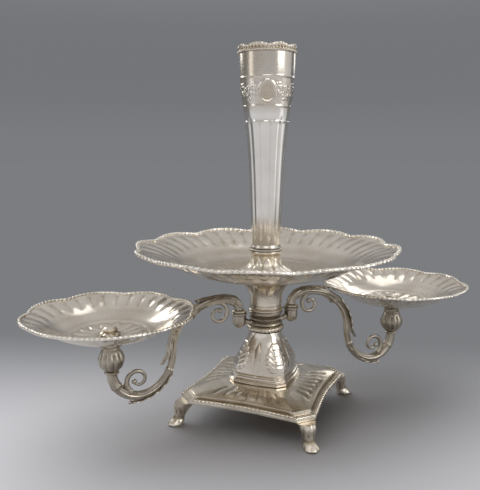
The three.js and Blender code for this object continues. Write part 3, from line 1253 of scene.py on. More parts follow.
@dataclass
class Base:
    """The square plinth with its gadrooned edge, and its four cast feet."""

    half_diagonal: float = 107 * MM
    bottom: float = 26 * MM
    seat: float = 40 * MM
    corner_cut: float = 15 * MM
    side_hollow: float = 0.055
    cuts: int = 79
    flutes_a_side: int = 10
    slope_rows: int = 26
    gadroons: int = 120

    def hollow(self, place: Vector) -> float:
        """How far a side is drawn in, most in its middle and not at all on the round seat.

        Args:
            place: a point of the surface.

        Returns:
            How much of the inward move counts there, from 0 to 1.
        """
        around = angle_of(place) % (TURN / 4) / (TURN / 4)
        margin = 1 / 16
        along = min(max((around - margin) / (1 - 2 * margin), 0), 1)
        outer = ease((reach_of(place) / self.half_diagonal - 0.42) / 0.2)
        return math.sin(math.pi * along) * outer

    def plinth(self) -> Thing:
        """The stepped sheet with a recess below it.

        Returns:
            The sheet.
        """
        z = self.bottom
        top = Ring("plinth", 4, self.half_diagonal, z).squared(self.corner_cut, self.cuts)
        edge = top.radius
        steps = ((0, 0.5), (0, 2.8), (0.8, 4.2), (2.6, 4.9), (5.2, 5.0), (7.8, 5.2), (8.8, 6.2), (9, 7.6),
                 (10.4, 8.3))
        for inset, rise in steps:
            top.ring(edge - inset * MM, z + rise * MM)
        for i in range(1, self.slope_rows + 1):
            t = i / self.slope_rows
            radius = mix(edge - 11.5 * MM, 51 * MM, t)
            height = z + mix(8.4, 13.3, 1 - (1 - t) ** 2) * MM
            top.ring(radius, height, 0.03 + 0.16 * t)
        top.ring(48 * MM, self.seat - 0.1 * MM, 1).ring(42 * MM, self.seat, 1).ring(4 * MM, self.seat, 1)
        top.ring(4 * MM, self.seat - 2 * MM, 1).ring(46 * MM, self.seat - 2.6 * MM, 1)
        sheet = top.done()
        hollow = Ring("recess", 4, 80 * MM, z + 0.1 * MM).squared(self.corner_cut * 0.75, self.cuts)
        hollow.shaped(79.6 * MM, 0.35).ring(77.6 * MM, z + 6 * MM).ring(65 * MM, z + 9.4 * MM, 0.25)
        hollow.ring(46.2 * MM, self.seat - 2.7 * MM, 1)
        thing = joined("plinth", sheet, hollow.done())
        bridge(thing, lambda height: height < z + 1 * MM)
        bridge(thing, lambda height: height > z + 1 * MM)
        draw_in(weld(thing), self.hollow, self.side_hollow)
        return thing

    def edge_path(self) -> Thing:
        """The closed path of the gadrooned edge.

        Returns:
            The curve object.
        """
        ring = Ring("plinth_edge", 4, self.half_diagonal, self.bottom + 4.3 * MM)
        ring.squared(self.corner_cut, self.cuts)
        loop = ring.shaped(ring.radius - 2.2 * MM).done()
        draw_in(loop, self.hollow, self.side_hollow)
        return loop_curve("plinth_edge", loop)

    def chased(self, place: Vector) -> float:
        """Low flutes that fan out from the pedestal over the slope, the same on each side.

        Args:
            place: a point of the surface.

        Returns:
            How deep a flute is there, from 0 to 1.
        """
        across = abs(place.x) + abs(place.y)
        along = (abs(place.x) - abs(place.y)) / max(across, MM)
        furrow = 1 - abs(math.sin(math.pi * self.flutes_a_side * (along + 1) / 2))
        above = place.z > self.bottom + 7 * MM
        beside_corner = ease((0.74 - abs(along)) / 0.08)
        return furrow * between(across / self.half_diagonal, 0.62, 0.79, 0.05) * beside_corner * above

    def foot(self) -> Thing:
        """A foot that swells at the knee, thins at the ankle and turns its toe out, at +X.

        Each row is a height, the reach of its middle and its two half widths, in millimetres.

        Returns:
            The foot.
        """
        rows = smooth_line(
            ((0.1, 105.5, 7.4, 7.4), (2, 106.2, 8.9, 8.4), (5, 104.5, 8, 7.5), (9, 102, 6.0, 5.6),
             (15, 100, 7.4, 6.8), (21, 97.5, 10.6, 9), (25.7, 94, 11.8, 10.2)),
            26,
        )
        base = rows[0][1]
        ring = Ring("foot", 64, MM, rows[0][0] * MM, filled=True)
        middle, along, across = base, 1.0, 1.0
        for height, reach, wide, deep in rows:
            shift = (reach - middle) * MM
            ring.oval(wide / along, deep / across, height * MM, shift, (reach - base) * MM)
            middle, along, across = reach, wide, deep
        thing = moved(weld(ring.closed().done()), (base * MM, 0, 0))
        push(thing, self.shell_ribs, -1.0 * MM)
        push(thing, self.toe_roll, -0.8 * MM)
        return thing

    def shell_ribs(self, place: Vector) -> float:
        """The furrows of the fan shell on the knee.

        Args:
            place: a point of the surface.

        Returns:
            How deep the furrow is there, from 0 to 1.
        """
        height = place.z / MM
        spread = math.atan2(place.y, place.x - 96 * MM)
        furrow = 1 - abs(math.cos(5.5 * spread))
        return furrow * between(height, 15, 24, 4) * ease((1.7 - abs(spread)) / 0.5)

    def toe_roll(self, place: Vector) -> float:
        """The grooves that part the toe into rolls."""
        spread = math.atan2(place.y, place.x - 104 * MM)
        return (1 - abs(math.cos(3.5 * spread))) * between(place.z / MM, 1.5, 5, 2) * (abs(spread) < 1.6)

    def build(self, dresser: Dresser) -> None:
        """Models and dresses the plinth and the feet.

        Args:
            dresser: what dresses the pieces.
        """
        sheet = self.plinth()
        push(sheet, self.chased, -0.8 * MM)
        path = self.edge_path()
        unit = egg("plinth_gadroons", length_of(path) / self.gadroons, 2.2 * MM, 1.5 * MM, 26)
        border = along_curve(unit, path, self.gadroons)
        removed(path)
        dresser.dress(joined("plinth_sheet", sheet, border), CAST, Slot.WORN, "base_plinth")
        foot = self.foot()
        for i, side in enumerate(("right", "back", "left", "front")):
            casting = turned_round(copied(foot, f"foot_{side}_casting"), i * TURN / 4)
            dresser.dress(casting, CAST, Slot.WORN, f"foot_{side}")
        removed(foot)
        dresser.coat(AGED_BRASS, "base_washer", "base_wing_nut")
        dresser.coat(TURNED_STEEL, "tie_rod")


# Column


@dataclass
class Column:
    """What stands between the plinth and the bowl: bell pedestal, knop, branch collar and support."""

    foot: float = 40.3
    peg_reach: float = 32.0

    def corner_leaf(self, place: Vector) -> float:
        """A chased leaf up each corner of the bell: midrib, side veins and a scalloped edge.

        Args:
            place: a point of the surface.

        Returns:
            How high the relief is there, from 0 to 1.
        """
        height = (place.z / MM - 53) / 33
        if not 0 < height < 1:
            return 0.0
        corner = (angle_of(place) + TURN / 8) % (TURN / 4) - TURN / 8
        scallop = 0.78 + 0.22 * abs(math.sin(math.pi * 6 * height))
        width = 0.44 * math.sin(math.pi * mix(0.16, 0.98, height)) ** 0.8 * scallop + 1e-3
        across = abs(corner) / width
        rib = bell(across, 0, 0.14)
        vein = abs(math.sin(math.pi * 6 * (height - 0.26 * across)))
        body = ease((1.06 - across) * 6) * ease((1 - height) * 7) * ease(height * 7)
        return body * (0.45 + 0.55 * max(rib, 0.6 * vein * ease(across * 4)))

    def drape(self, place: Vector) -> float:
        """A soft furrow up the middle of each side of the bell."""
        side = angle_of(place) % (TURN / 4) - TURN / 8
        return bell(side, 0, 0.10) * between(place.z / MM, 60, 82, 8)

    def pedestal(self) -> Thing:
        """The bell, square over the plinth and round under the knop.

        Returns:
            The piece.
        """
        outside = smooth_line(
            ((37.9, 51.6, 0), (34.8, 62, 0.04), (30.2, 71, 0.12), (25, 80, 0.28), (20.8, 88, 0.5),
             (18.6, 94, 1)),
            96,
        )
        ring = Ring("pedestal", 4, 40.6 * MM, self.foot * MM).squared(7 * MM, 57).shaped(40.6 * MM, 0.3)
        lower = ((41.5, 40.9), (41.5, 43.4), (40.9, 44.0), (39.6, 44.3), (39.0, 45.0), (39.4, 46.2),
                 (39.0, 47.4), (37.8, 48.0), (37.4, 49.0), (37.5, 50.0), (37.9, 50.6))
        ring.rings(in_metres(lower))
        done = 0.0
        for radius, height, rounder in outside:
            step = max(rounder - done, 0) / max(1 - done, 1e-3)
            ring.ring(radius * MM, height * MM, min(step, 1))
            done = max(rounder, done)
        ring.ring(4 * MM, 94 * MM, 1).ring(4 * MM, 91.4 * MM, 1).ring(17 * MM, 88 * MM, 1)
        ring.ring(24 * MM, 76 * MM, 1).ring(30 * MM, 60 * MM, 1).ring(33 * MM, (self.foot + 0.1) * MM, 1)
        thing = ring.done()
        bridge(thing, lambda height: True)
        weld(thing)
        push(thing, self.drape, -0.8 * MM)
        push(thing, self.corner_leaf, 1.1 * MM)
        return thing

    def knop(self) -> Thing:
        """The pressed knop with slanting reeds between two beads.

        Returns:
            The piece.
        """
        bulge = [(18.2 + 2.6 * math.cos(a), 97.65 + 2.9 * math.sin(a))
                 for a in (math.radians(d) for d in range(-80, 81, 16))]
        line = [(3.4, 94.3), (17.2, 94.3), *bulge, (17.2, 101), (3.4, 101)]
        thing = drilled("knop", line, 120)
        push(thing, self.reeds, -0.9 * MM)
        return thing

    def reeds(self, place: Vector) -> float:
        """The slanting furrows between the reeds of the knop."""
        return (1 - crown(30, angle_of(place) + place.z * 40)) * (reach_of(place) > 18.5 * MM)

    def socket(self) -> Thing:
        """A lobed cup that takes an arm's peg, at +X.

        Returns:
            The piece.
        """
        line = [(4.85, 103), (4.85, 117), (8, 117), (8.6, 116.4), (8.6, 114.8), (7.6, 113.6), (7.7, 110),
                (7.6, 106), (6.9, 103.6), (5.2, 101.4), (3.4, 100.2), (1.5, 99.4), (0.6, 99.1)]
        cup = turned("socket", line, 40)
        push(cup, fluting(10, 103, 112, 2, 5.4), -0.7 * MM)
        beads = beaded_ring("socket_beads", 8.3, 115.6, 20, 0.75)
        return moved(joined("socket", cup, beads), (self.peg_reach * MM, 0, 0))

    def bracket(self) -> Thing:
        """The scrolled web between the collar and a socket, at +X.

        Returns:
            The piece.
        """
        points = smooth_line(((13, 104.5), (19, 104.2), (25.5, 106.8)), 10)
        path = line_curve("bracket_path", [flat(x, z) for x, z in points])
        radii = [mix(3.4, 2.7, math.sin(math.pi * (i / 12))) for i in range(13)]
        bar = bar_along("bracket", path, 20, radii)
        removed(path)
        return stood_up(bar)

    def collar(self) -> Thing:
        """The turned collar with a beaded waist, two brackets and two sockets.

        Returns:
            The piece.
        """
        line = [(3.4, 101.3), (17.4, 101.3), (18.5, 102), (18.8, 102.9), (18.3, 104.2), (17.3, 105),
                (16.7, 106), (16.7, 111), (17.2, 112.4), (18.4, 113.4), (19, 114.8), (18.8, 116.2),
                (18, 117), (3.4, 117)]
        hub = drilled("collar", line, 96)
        beads = beaded_ring("collar_beads", 16.9, 108.5, 40, 1.15)
        parts = [hub, beads]
        for side in (0, TURN / 2):
            parts.append(turned_round(self.socket(), side))
            parts.append(turned_round(self.bracket(), side))
        return joined("collar_casting", *parts)

    def petals(self, place: Vector) -> float:
        """The leaves of the calyx that opens under the bowl.

        Args:
            place: a point of the surface.

        Returns:
            How high the relief is there, from 0 to 1.
        """
        height = (place.z / MM - 124) / 32
        if not 0 < height < 1:
            return 0.0
        petal = crown(8, angle_of(place))
        vein = bell((angle_of(place) * 8 / TURN + 0.5) % 1, 0.5, 0.07)
        tip = 0.45 + 0.55 * petal
        return ease((tip - height) * 12) * (0.55 + 0.25 * petal + 0.35 * vein)

    def support(self) -> Thing:
        """The flared support under the bowl.

        Returns:
            The piece.
        """
        flare = smooth_line(((17.6, 120.4), (17.2, 128), (18.8, 138), (25.2, 148), (39.4, 156)), 40)
        line = [(3.4, 117.3), (18.6, 117.3), (19.3, 118.1), (19.3, 118.9), (18.6, 119.6), *flare,
                (41.4, 156.9), (42, 157.5), (42, 158), (3.4, 158)]
        thing = drilled("support", line, 144)
        push(thing, self.petals, 1.0 * MM)
        return thing

    def build(self, dresser: Dresser) -> None:
        """Models and dresses the column.

        Args:
            dresser: what dresses the pieces.
        """
        dresser.dress(named(self.pedestal(), "pedestal_bell"), POLISHED, Slot.SILVER, "pedestal")
        dresser.dress(named(self.knop(), "reeded_knop"), CAST, Slot.WORN, "column_knop")
        # The collar's plate is darker with painted shade, for the shade under the bowl.
        dresser.dress(self.collar(), PAINTED_SHADE_PLATE, Slot.TARNISHED, "branch_collar")
        dresser.dress(named(self.support(), "bowl_calyx"), CAST, Slot.WORN, "bowl_support")


# Lobed vessels


@dataclass
class LobedVessel:
    """A shallow vessel with a lobed edge, chased flutes and an applied gadrooned border."""

    name: str
    lobes: int
    rim_radius: float
    rim_height: float
    border: float
    underside: Sequence[Pair]
    wall: float
    eggs_per_lobe: int
    columns_per_lobe: int = 32
    flutes_per_lobe: int = 4
    notch_depth: float = 0.045
    notch_drop: float = 0.02
    well_darkening: float = 0.8

    def share(self, place: Vector) -> float:
        """A place's distance from the axis, as a share of the rim's radius."""
        return reach_of(place) / self.rim_radius

    def notch(self, place: Vector) -> float:
        """How much a place is drawn into a notch of the lobing."""
        return furrowed(self.lobes, place) * ease((self.share(place) - 0.42) / 0.58)

    def flute(self, place: Vector) -> float:
        """The small chased flutes that fan out below the border."""
        fan = furrowed(self.lobes * self.flutes_per_lobe, place)
        return fan * between(self.share(place), 0.76, 0.90, 0.07)

    def petals(self, place: Vector) -> float:
        """A ring of pointed petals in low relief that opens from the middle.

        Args:
            place: a point of the surface.

        Returns:
            How high the relief is there, from 0 to 1.
        """
        share = self.share(place)
        petal = crown(2 * self.lobes, angle_of(place))
        tip = 0.32 + 0.10 * petal
        return ease((tip - share) / 0.03) * ease((share - 0.16) / 0.04) * (0.35 + 0.65 * petal)

    def well_line(self, place: Vector) -> float:
        """The raised line round the well."""
        return bell(self.share(place), 0.46, 0.012)

    def stain(self, place: Vector) -> float:
        """Darkens the well towards its middle."""
        return self.well_darkening * ease((0.66 - self.share(place)) / 0.25)

    def lobed(self, thing: Thing) -> Thing:
        """Draws a round piece into the lobed form.

        Args:
            thing: the round piece.

        Returns:
            The same piece, lobed.
        """
        draw_in(thing, self.notch, self.notch_depth)
        push(thing, self.notch, -self.notch_drop * self.rim_radius, "Z")
        return thing

    def shell(self) -> Thing:
        """The vessel's sheet, from its middle to its edge.

        Returns:
            The sheet.
        """
        first = self.underside[0]
        line = in_metres(smooth_line(self.underside, 44))
        rows = 8
        inner = [(first[0] * MM * i / rows, first[1] * MM) for i in range(2, rows)]
        start = first[0] * MM / rows
        ring = Ring(self.name, self.lobes * self.columns_per_lobe, start, first[1] * MM, filled=True)
        sheet = self.lobed(ring.rings([*inner, *line]).done())
        face_towards(sheet, Vector((0, 0, 1)))
        push(sheet, self.flute, -1.1 * MM, "Z")
        push(sheet, self.well_line, 0.8 * MM, "Z")
        push(sheet, self.petals, 0.9 * MM, "Z")
        thicken(sheet, self.wall, 1)
        return weld(sheet)

    def edge_path(self) -> Thing:
        """The closed path along the middle of the border.

        Returns:
            The curve object.
        """
        radius = self.rim_radius - 1.25 * self.border
        ring = Ring(f"{self.name}_path", self.lobes * 24, radius, self.rim_height - self.border)
        return loop_curve(f"{self.name}_path", self.lobed(ring.done()))

    def edging(self) -> Thing:
        """Slanting gadroons over a round moulding.

        Returns:
            The border.
        """
        path = self.edge_path()
        count = self.lobes * self.eggs_per_lobe
        unit = egg(f"{self.name}_eggs", length_of(path) / count, self.border * 0.9, self.border * 0.95, 28)
        eggs = along_curve(unit, path, count)
        band = moulding(f"{self.name}_band", path, self.border * 0.72)
        return joined(f"{self.name}_border", eggs, band)


BOWL = LobedVessel(
    name="bowl_sheet",
    lobes=12,
    rim_radius=146 * MM,
    rim_height=191.5 * MM,
    border=2.3 * MM,
    underside=((41, 158.4), (66, 160.3), (90, 166), (108, 175.5), (122, 182.5), (142.4, 187.8)),
    wall=1.2 * MM,
    eggs_per_lobe=12,
)

DISH = LobedVessel(
    name="dish_sheet",
    lobes=8,
    rim_radius=88 * MM,
    rim_height=134.5 * MM,
    border=1.9 * MM,
    underside=((20, 108.1), (40, 110.2), (56, 116.6), (70, 126), (84.9, 131.2)),
    wall=1.1 * MM,
    eggs_per_lobe=14,
    columns_per_lobe=36,
)


# Vase


def leaf_bump(along: float, up: float, angle: float, half_length: float, half_width: float) -> float:
    """The height of a small leaf in relief, with a groove for its midrib.

    Args:
        along: how far the place lies from the leaf's middle, round the vase.
        up: how far it lies above the leaf's middle.
        angle: the way that the leaf points.
        half_length: half its length.
        half_width: half its width.

    Returns:
        1 on the leaf, less in its midrib and 0 outside it.
    """
    run = along * math.cos(angle) + up * math.sin(angle)
    off = up * math.cos(angle) - along * math.sin(angle)
    inside = 1 - (run / half_length) ** 2 - (off / half_width) ** 2
    return ease(inside * 1.6) * (1 - 0.4 * bell(off, 0, 0.3))


@dataclass
class Vase:
    """The trumpet vase with long flutes, a chased band with cartouches and a scalloped border."""

    seat: float = 187.3
    mouth: float = 391.0
    inner_side: int = 30
    outer_side: int = 234
    flutes: int = 12
    scallops: int = 8
    wall: float = 1.1
    side: Sequence[Pair] = (
        (15.2, 191), (16.3, 212), (18.3, 262), (20.9, 300), (25.4, 338), (28.6, 366), (29.5, 391),
    )
    cartouche_height: float = 352.0
    cartouche_facing: float = math.radians(-115)
    bends_a_quarter: int = 4
    bend: float = 10.6
    columns: int = 288

    def flute(self, place: Vector) -> float:
        """The long flutes up the stem."""
        return furrowed(self.flutes, place) * between(place.z / MM, 203, 318, 12)

    def turn(self, place: Vector) -> float:
        """The angle of a place from the nearer cartouche."""
        return (angle_of(place) - self.cartouche_facing + TURN / 4) % (TURN / 2) - TURN / 4

    def oval(self, place: Vector) -> float:
        """The distance from the middle of the nearer cartouche, 1 on its frame.

        Args:
            place: a point of the surface.

        Returns:
            The distance.
        """
        across = self.turn(place) * reach_of(place) / (8.5 * MM)
        up = (place.z / MM - self.cartouche_height) / 10.5
        return math.hypot(across, up)

    def frame_line(self, place: Vector) -> float:
        """The raised frame of the cartouches."""
        return bell(self.oval(place), 1.0, 0.12)

    def garland(self, place: Vector) -> float:
        """A wavy stem with leaves and a flower in each of its bends, mirrored about the cartouches.

        Args:
            place: a point of the vase's surface.

        Returns:
            The height of the relief, from 0 to 1.
        """
        bends = abs(self.turn(place)) / (TURN / 4) * self.bends_a_quarter - 1
        bend = round(bends)
        along = (bends - bend) * self.bend
        up = (place.z / MM - self.cartouche_height) * (-1) ** bend
        stem = bell(up, 5.4 * math.cos(math.pi * along / self.bend), 0.9)
        reach = math.hypot(along, up + 2.6)
        petal = 3.9 * (0.74 + 0.26 * abs(math.cos(2.5 * math.atan2(up + 2.6, along))))
        flower = ease((petal - reach) / 0.9) * (0.75 - 0.45 * bell(reach, 1.7, 0.5))
        leaves = max(
            leaf_bump(abs(along) - x, up - y, angle, 2.7, 1.15)
            for x, y, angle in ((1.9, 7.4, 0.35), (4.3, 4.6, -0.5), (3.4, 1.6, 1.25), (4.6, -2.4, -1.1))
        )
        free = ease((self.oval(place) - 1.2) * 4)
        return max(stem * 0.8, flower, 0.75 * leaves, bell(reach, 0, 1.0)) * free

    def band_line(self, place: Vector) -> float:
        """The raised lines above and below the band."""
        height = place.z / MM
        return max(bell(height, 366.5, 0.8), bell(height, 337.5, 0.8), bell(height, 322, 0.7))

    def trumpet(self) -> Thing:
        """The sheet of the vase.

        Returns:
            The sheet.
        """
        outside = smooth_line(self.side, self.outer_side)
        inner = smooth_line(self.side, self.inner_side)
        inside = [(radius - self.wall, height) for radius, height in inner]
        bead = ((15.8, 0), (16.4, 0.5), (16.4, 1.7), (15.9, 2.5))
        foot = [(radius, self.seat + rise) for radius, rise in bead]
        lip = [(29.3, self.mouth + 0.2), (28.6, self.mouth + 0.2)]
        profile = [*foot, *outside, *lip, *reversed(inside[1:]), (9, 191.4)]
        thing = turned("trumpet", profile, self.columns)
        shown = weigh_outside(thing)
        reliefs = ((self.flute, -0.9), (self.frame_line, 0.9), (self.garland, 0.75), (self.band_line, 0.6))
        for weight, distance in reliefs:
            push(thing, lambda place: weight(place) * shown(place), distance * MM)
        return thing

    def stain(self, place: Vector) -> float:
        """Tarnish inside the cartouches, and darker bands up to the mouth and round the foot.

        Args:
            place: a point of the surface.

        Returns:
            How dark it is there, from 0 to 1.
        """
        height = place.z / MM
        inside = ease((1 - self.oval(place)) * 4)
        return max(0.9 * inside, 0.6 * between(height, 338, 400, 12), 0.5 * between(height, 180, 215, 15))

    def rim(self) -> Thing:
        """The border round the mouth, whose scallops rise between shallow notches.

        Returns:
            The border.
        """
        rows = [(27.6, 391.35), (30.0, 391.35), (30.7, 392.2), (30.8, 393.2), (30.1, 394), (30.1, 395.2),
                (30.5, 396.6), (30.9, 398), (30.8, 399.2), (30.2, 399.9), (29.4, 399.9), (28.7, 399.2),
                (28.3, 397.6), (28.0, 394.5)]
        thing = drilled("mouth_border", rows, 192)
        push(thing, self.notch, -2.2 * MM, "Z")
        push(thing, fluting(48, 394.6, 398.4, 1.2, 29.6), -0.7 * MM)
        beads = beaded_ring("mouth_beads", 30.3, 392.6, 56, 0.95)
        return joined("mouth_border", thing, beads)

    def notch(self, place: Vector) -> float:
        """How far the top of the border drops between two scallops."""
        return furrowed(self.scallops, place) * ease((place.z / MM - 393) / 6)

    def spigot(self) -> Thing:
        """The plug below the vase, with a beaded flange.

        Returns:
            The piece.
        """
        line = [(11.7, 168.3), (12.4, 168.6), (12.7, 169.3), (12.7, 184.3), (17.4, 184.3), (18.2, 184.8),
                (18.4, 185.6), (18.1, 186.4), (17.3, 187)]
        plug = turned("spigot", line, 72)
        beads = beaded_ring("spigot_beads", 18.0, 185.65, 44, 0.8)
        return joined("spigot", plug, beads)

    def socket(self) -> Thing:
        """The socket that stands in the bowl, with a leafy skirt and a reeded lip.

        Returns:
            The piece.
        """
        skirt = smooth_line(
            ((27.6, 161.7), (24.2, 163.4), (20, 166), (17.2, 169.6), (16, 174), (15.8, 180)), 36
        )
        line = [(3.4, 165.3), (3.4, 160.3), (27, 160.3), (27.6, 160.9), *skirt,
                (16.6, 181.2), (17.5, 182.1), (17.6, 183), (17.2, 184), (13.1, 184), (13.1, 168), (8, 168)]
        thing = turned("vase_holder", line, 120)
        push(thing, self.skirt_leaf, 1.0 * MM)
        return thing

    def skirt_leaf(self, place: Vector) -> float:
        """Leaves that climb the skirt of the socket.

        Args:
            place: a point of the surface.

        Returns:
            How high the relief is there, from 0 to 1.
        """
        height = (place.z / MM - 161.5) / 16
        if not 0 < height < 1 or reach_of(place) < 14.6 * MM:
            return 0.0
        petal = crown(10, angle_of(place))
        return ease((0.3 + 0.7 * petal - height) * 8) * (0.4 + 0.6 * petal)

    def build(self, dresser: Dresser) -> None:
        """Models and dresses the vase, its border, its spigot and its socket.

        Args:
            dresser: what dresses the pieces.
        """
        dresser.dress(named(self.trumpet(), "vase_trumpet"), BRIGHT, Slot.SILVER, "vase", stain=self.stain)
        dresser.dress(named(self.rim(), "vase_border"), CAST, Slot.WORN, "vase_rim")
        # The spigot's plate is darker with painted shade.
        dresser.dress(named(self.spigot(), "vase_plug"), PAINTED_SHADE_PLATE, Slot.TARNISHED, "vase_spigot")
        dresser.dress(named(self.socket(), "vase_holder"), CAST, Slot.WORN, "vase_socket")


def weigh_outside(thing: Thing) -> Weight:
    """A weight that is 1 on the outside of a hollow turned piece and 0 on its inside.

    The inside is known by where its vertices are now. A place that isn't found has been moved
    since, so it is on the outside.

    Args:
        thing: the piece, with its faces pointing outwards.

    Returns:
        The weight.
    """
    def key(place: Vector) -> tuple[float, ...]:
        """The place, rounded so that it is found again."""
        return tuple(round(c, 6) for c in place)

    outward = {
        key(vertex.co): vertex.normal.dot(Vector((vertex.co.x, vertex.co.y, 0))) > 0
        for vertex in thing.data.vertices
    }
    return lambda place: float(outward.get(key(place), reach_of(place) > 0))


# Arms


@dataclass
class Arm:
    """A scroll arm with its tendrils and leaves, its peg, its bulb, and the fixings of its dish."""

    peg_reach: float = 32.0
    reach: float = 173.0
    start: float = 120.2
    crest: Pair = (52, 134)
    fall: Pair = (108, 84)
    dip: Pair = (144.5, 40)
    cup_foot: float = 68.0
    thick: float = 5.4
    thin: float = 4.0
    sections: int = 150
    collars: Sequence[float] = (0.06, 0.32, 0.60, 0.93)
    reeds: int = 8
    tendril_steps: int = 72
    tendril_shrink: float = 0.36

    def path(self) -> Thing:
        """The arm's middle line, in quarters of ellipses, drawn flat with its height along Y.

        Returns:
            The curve object.
        """
        (top_x, top), (fall_x, fall), (dip_x, low) = self.crest, self.fall, self.dip
        quarters = (
            ((top_x, self.start), (top_x - self.peg_reach, top - self.start), TURN / 2, TURN / 4, 18),
            ((top_x, fall), (fall_x - top_x, top - fall), TURN / 4, 0, 48),
            ((dip_x, fall), (dip_x - fall_x, fall - low), TURN / 2, TURN * 0.75, 38),
            ((dip_x, self.cup_foot), (self.reach - dip_x, self.cup_foot - low), TURN * 0.75, TURN, 28),
        )
        points = [flat(self.peg_reach, self.start)]
        for (x, y), (wide, high), first, last, steps in quarters:
            for i in range(1, steps + 1):
                angle = mix(first, last, i / steps)
                points.append(flat(x + wide * math.cos(angle), y + high * math.sin(angle)))
        return line_curve("arm_path", points)

    def stem(self, path: Thing) -> Thing:
        """The reeded stem, swollen at both ends, with turned collars where leaves spring from it.

        Args:
            path: the arm's middle line.

        Returns:
            The stem, drawn flat with its height along Y.
        """
        length = length_of(path)
        ring = Ring("stem", 32, self.thick * MM, 0, filled=True)
        for i in range(1, self.sections + 1):
            t = i / self.sections
            radius = mix(self.thick, self.thin, math.sin(math.pi * t) ** 2)
            for collar in self.collars:
                radius += 1.1 * bell(t, collar, 0.006) + 0.6 * bell(t, collar + 0.014, 0.003)
            ring.ring(radius * MM, t * length)
        thing = weld(ring.closed().done())
        push(thing, lambda p: furrowed(self.reeds, p) * (reach_of(p) > 2 * MM), -0.75 * MM)
        return bent_along(laid_along_x(thing), path)

    def tendril(
        self, centre: Pair, radius: float, start: float, turns: float, thickness: float
    ) -> Thing:
        """A tendril that winds in by a steady share each turn and ends in a round eye.

        Args:
            centre: the middle of its spiral, as reach and height in millimetres.
            radius: the spiral's first radius in millimetres.
            start: the angle that it starts at.
            turns: how many turns it makes.
            thickness: the half thickness where it starts, in millimetres.

        Returns:
            The tendril, drawn flat with its height along Y.
        """
        points = []
        radii = []
        for i in range(self.tendril_steps + 1):
            t = i / self.tendril_steps
            angle = start + turns * TURN * t
            r = radius * self.tendril_shrink ** (abs(turns) * t)
            points.append(flat(centre[0] + r * math.cos(angle), centre[1] + r * math.sin(angle)))
            radii.append(thickness * mix(1, 0.5, t))
        path = line_curve("tendril_path", points)
        thing = bar_along("tendril", path, 14, radii)
        removed(path)
        clear_selection()
        bpy.ops.mesh.primitive_uv_sphere_add(
            segments=16, ring_count=10, radius=thickness * MM, location=points[-1]
        )
        eye = settle(bpy.context.object)
        return joined("tendril", thing, eye)

    def leaf_on(
        self, path: Thing, start: float, leaf: Leaf, lift: float, curl: float, side: int = 1
    ) -> Thing:
        """A leaf laid along the arm.

        Args:
            path: the arm's middle line.
            start: how far along the arm it starts, as a share of the length.
            leaf: its size and form.
            lift: how far it lies off the middle line.
            curl: how far its tip rises further.
            side: 1 for the side that is above the arch, -1 for the other side.

        Returns:
            The leaf, drawn flat with its height along Y.
        """
        thing = leaf.build("arm_leaf")
        push(thing, lambda p: max(p.x / leaf.length, 0) ** 4, curl, "Y")
        moved(thing, (0, lift, 0))
        if side < 0:
            thing.rotation_euler.x = TURN / 2
            settle(thing)
        moved(thing, (start * length_of(path), 0, 0))
        return bent_along(thing, path)

    def casting(self, dresser: Dresser) -> None:
        """Models and dresses the arm and its leaves.

        Args:
            dresser: what dresses the pieces.
        """
        path = self.path()
        parts = [
            self.stem(path),
            self.tendril((57, 117.5), 14.5, 1.15, 1.15, 3.0),
            self.tendril((146, 57.5), 14, -1.0, 1.1, 2.9),
            self.leaf_on(path, 0.07, Leaf(40 * MM, 7.5 * MM, 4), 4.2 * MM, 4.5 * MM),
            self.leaf_on(path, 0.61, Leaf(50 * MM, 8 * MM, 5), 3.9 * MM, 5 * MM, -1),
            self.leaf_on(path, 0.20, Leaf(24 * MM, 6 * MM, 3), 3.9 * MM, 3 * MM, -1),
            self.leaf_on(path, 0.80, Leaf(24 * MM, 6 * MM, 3), 3.9 * MM, 3 * MM),
        ]
        # The arms' plate is darker with painted shade, for the shade under the dishes.
        dresser.pair(stood_up(joined("scroll_arm", *parts)), PAINTED_SHADE_PLATE, Slot.TARNISHED, "arm")
        main = self.leaf_on(path, 0.33, Leaf(56 * MM, 9 * MM, 6), 4.6 * MM, 6.5 * MM)
        dresser.pair(stood_up(named(main, "acanthus_leaf")), CAST, Slot.WORN, "arm_leaf")
        removed(path)

    def peg(self) -> Thing:
        """The peg below the arm with its shoulder.

        Returns:
            The piece.
        """
        line = [(3.6, 103.6), (4.2, 104.6), (4.5, 105.4), (4.5, 117.3), (7.4, 117.3), (8, 118),
                (7.9, 118.7), (7.2, 119.3), (6.6, 119.8)]
        return moved(turned("arm_plug", line, 40), (self.peg_reach * MM, 0, 0))

    def bulb(self) -> Thing:
        """The lobed bulb that carries the dish, opening into a calyx.

        Returns:
            The piece.
        """
        side = smooth_line(
            ((6.2, 71.5), (11.4, 76), (13.6, 84), (11, 91.5), (8.2, 97), (10.4, 102.5), (14.6, 105.6)), 60
        )
        line = [(7, 68.3), (7.6, 69), (7.6, 70), (7, 70.8), *side, (15, 106.3), (15, 107.7), (4.35, 107.7),
                (4.35, 94)]
        thing = turned("bulb", line, 96)
        push(thing, self.bulb_furrow, -1.1 * MM)
        beads = beaded_ring("bulb_beads", 8.6, 96.8, 22, 1.0)
        return moved(joined("dish_bulb", thing, beads), (self.reach * MM, 0, 0))

    def bulb_furrow(self, place: Vector) -> float:
        """The furrows between the lobes of the bulb and of the calyx.

        Args:
            place: a point of the surface.

        Returns:
            How deep the furrow is there, from 0 to 1.
        """
        height = place.z / MM
        if reach_of(place) < 6 * MM:
            return 0.0
        lobes = furrowed(10, place) * between(height, 75, 90, 4)
        calyx = furrowed(12, place) * between(height, 100, 105, 2)
        return max(lobes, calyx)

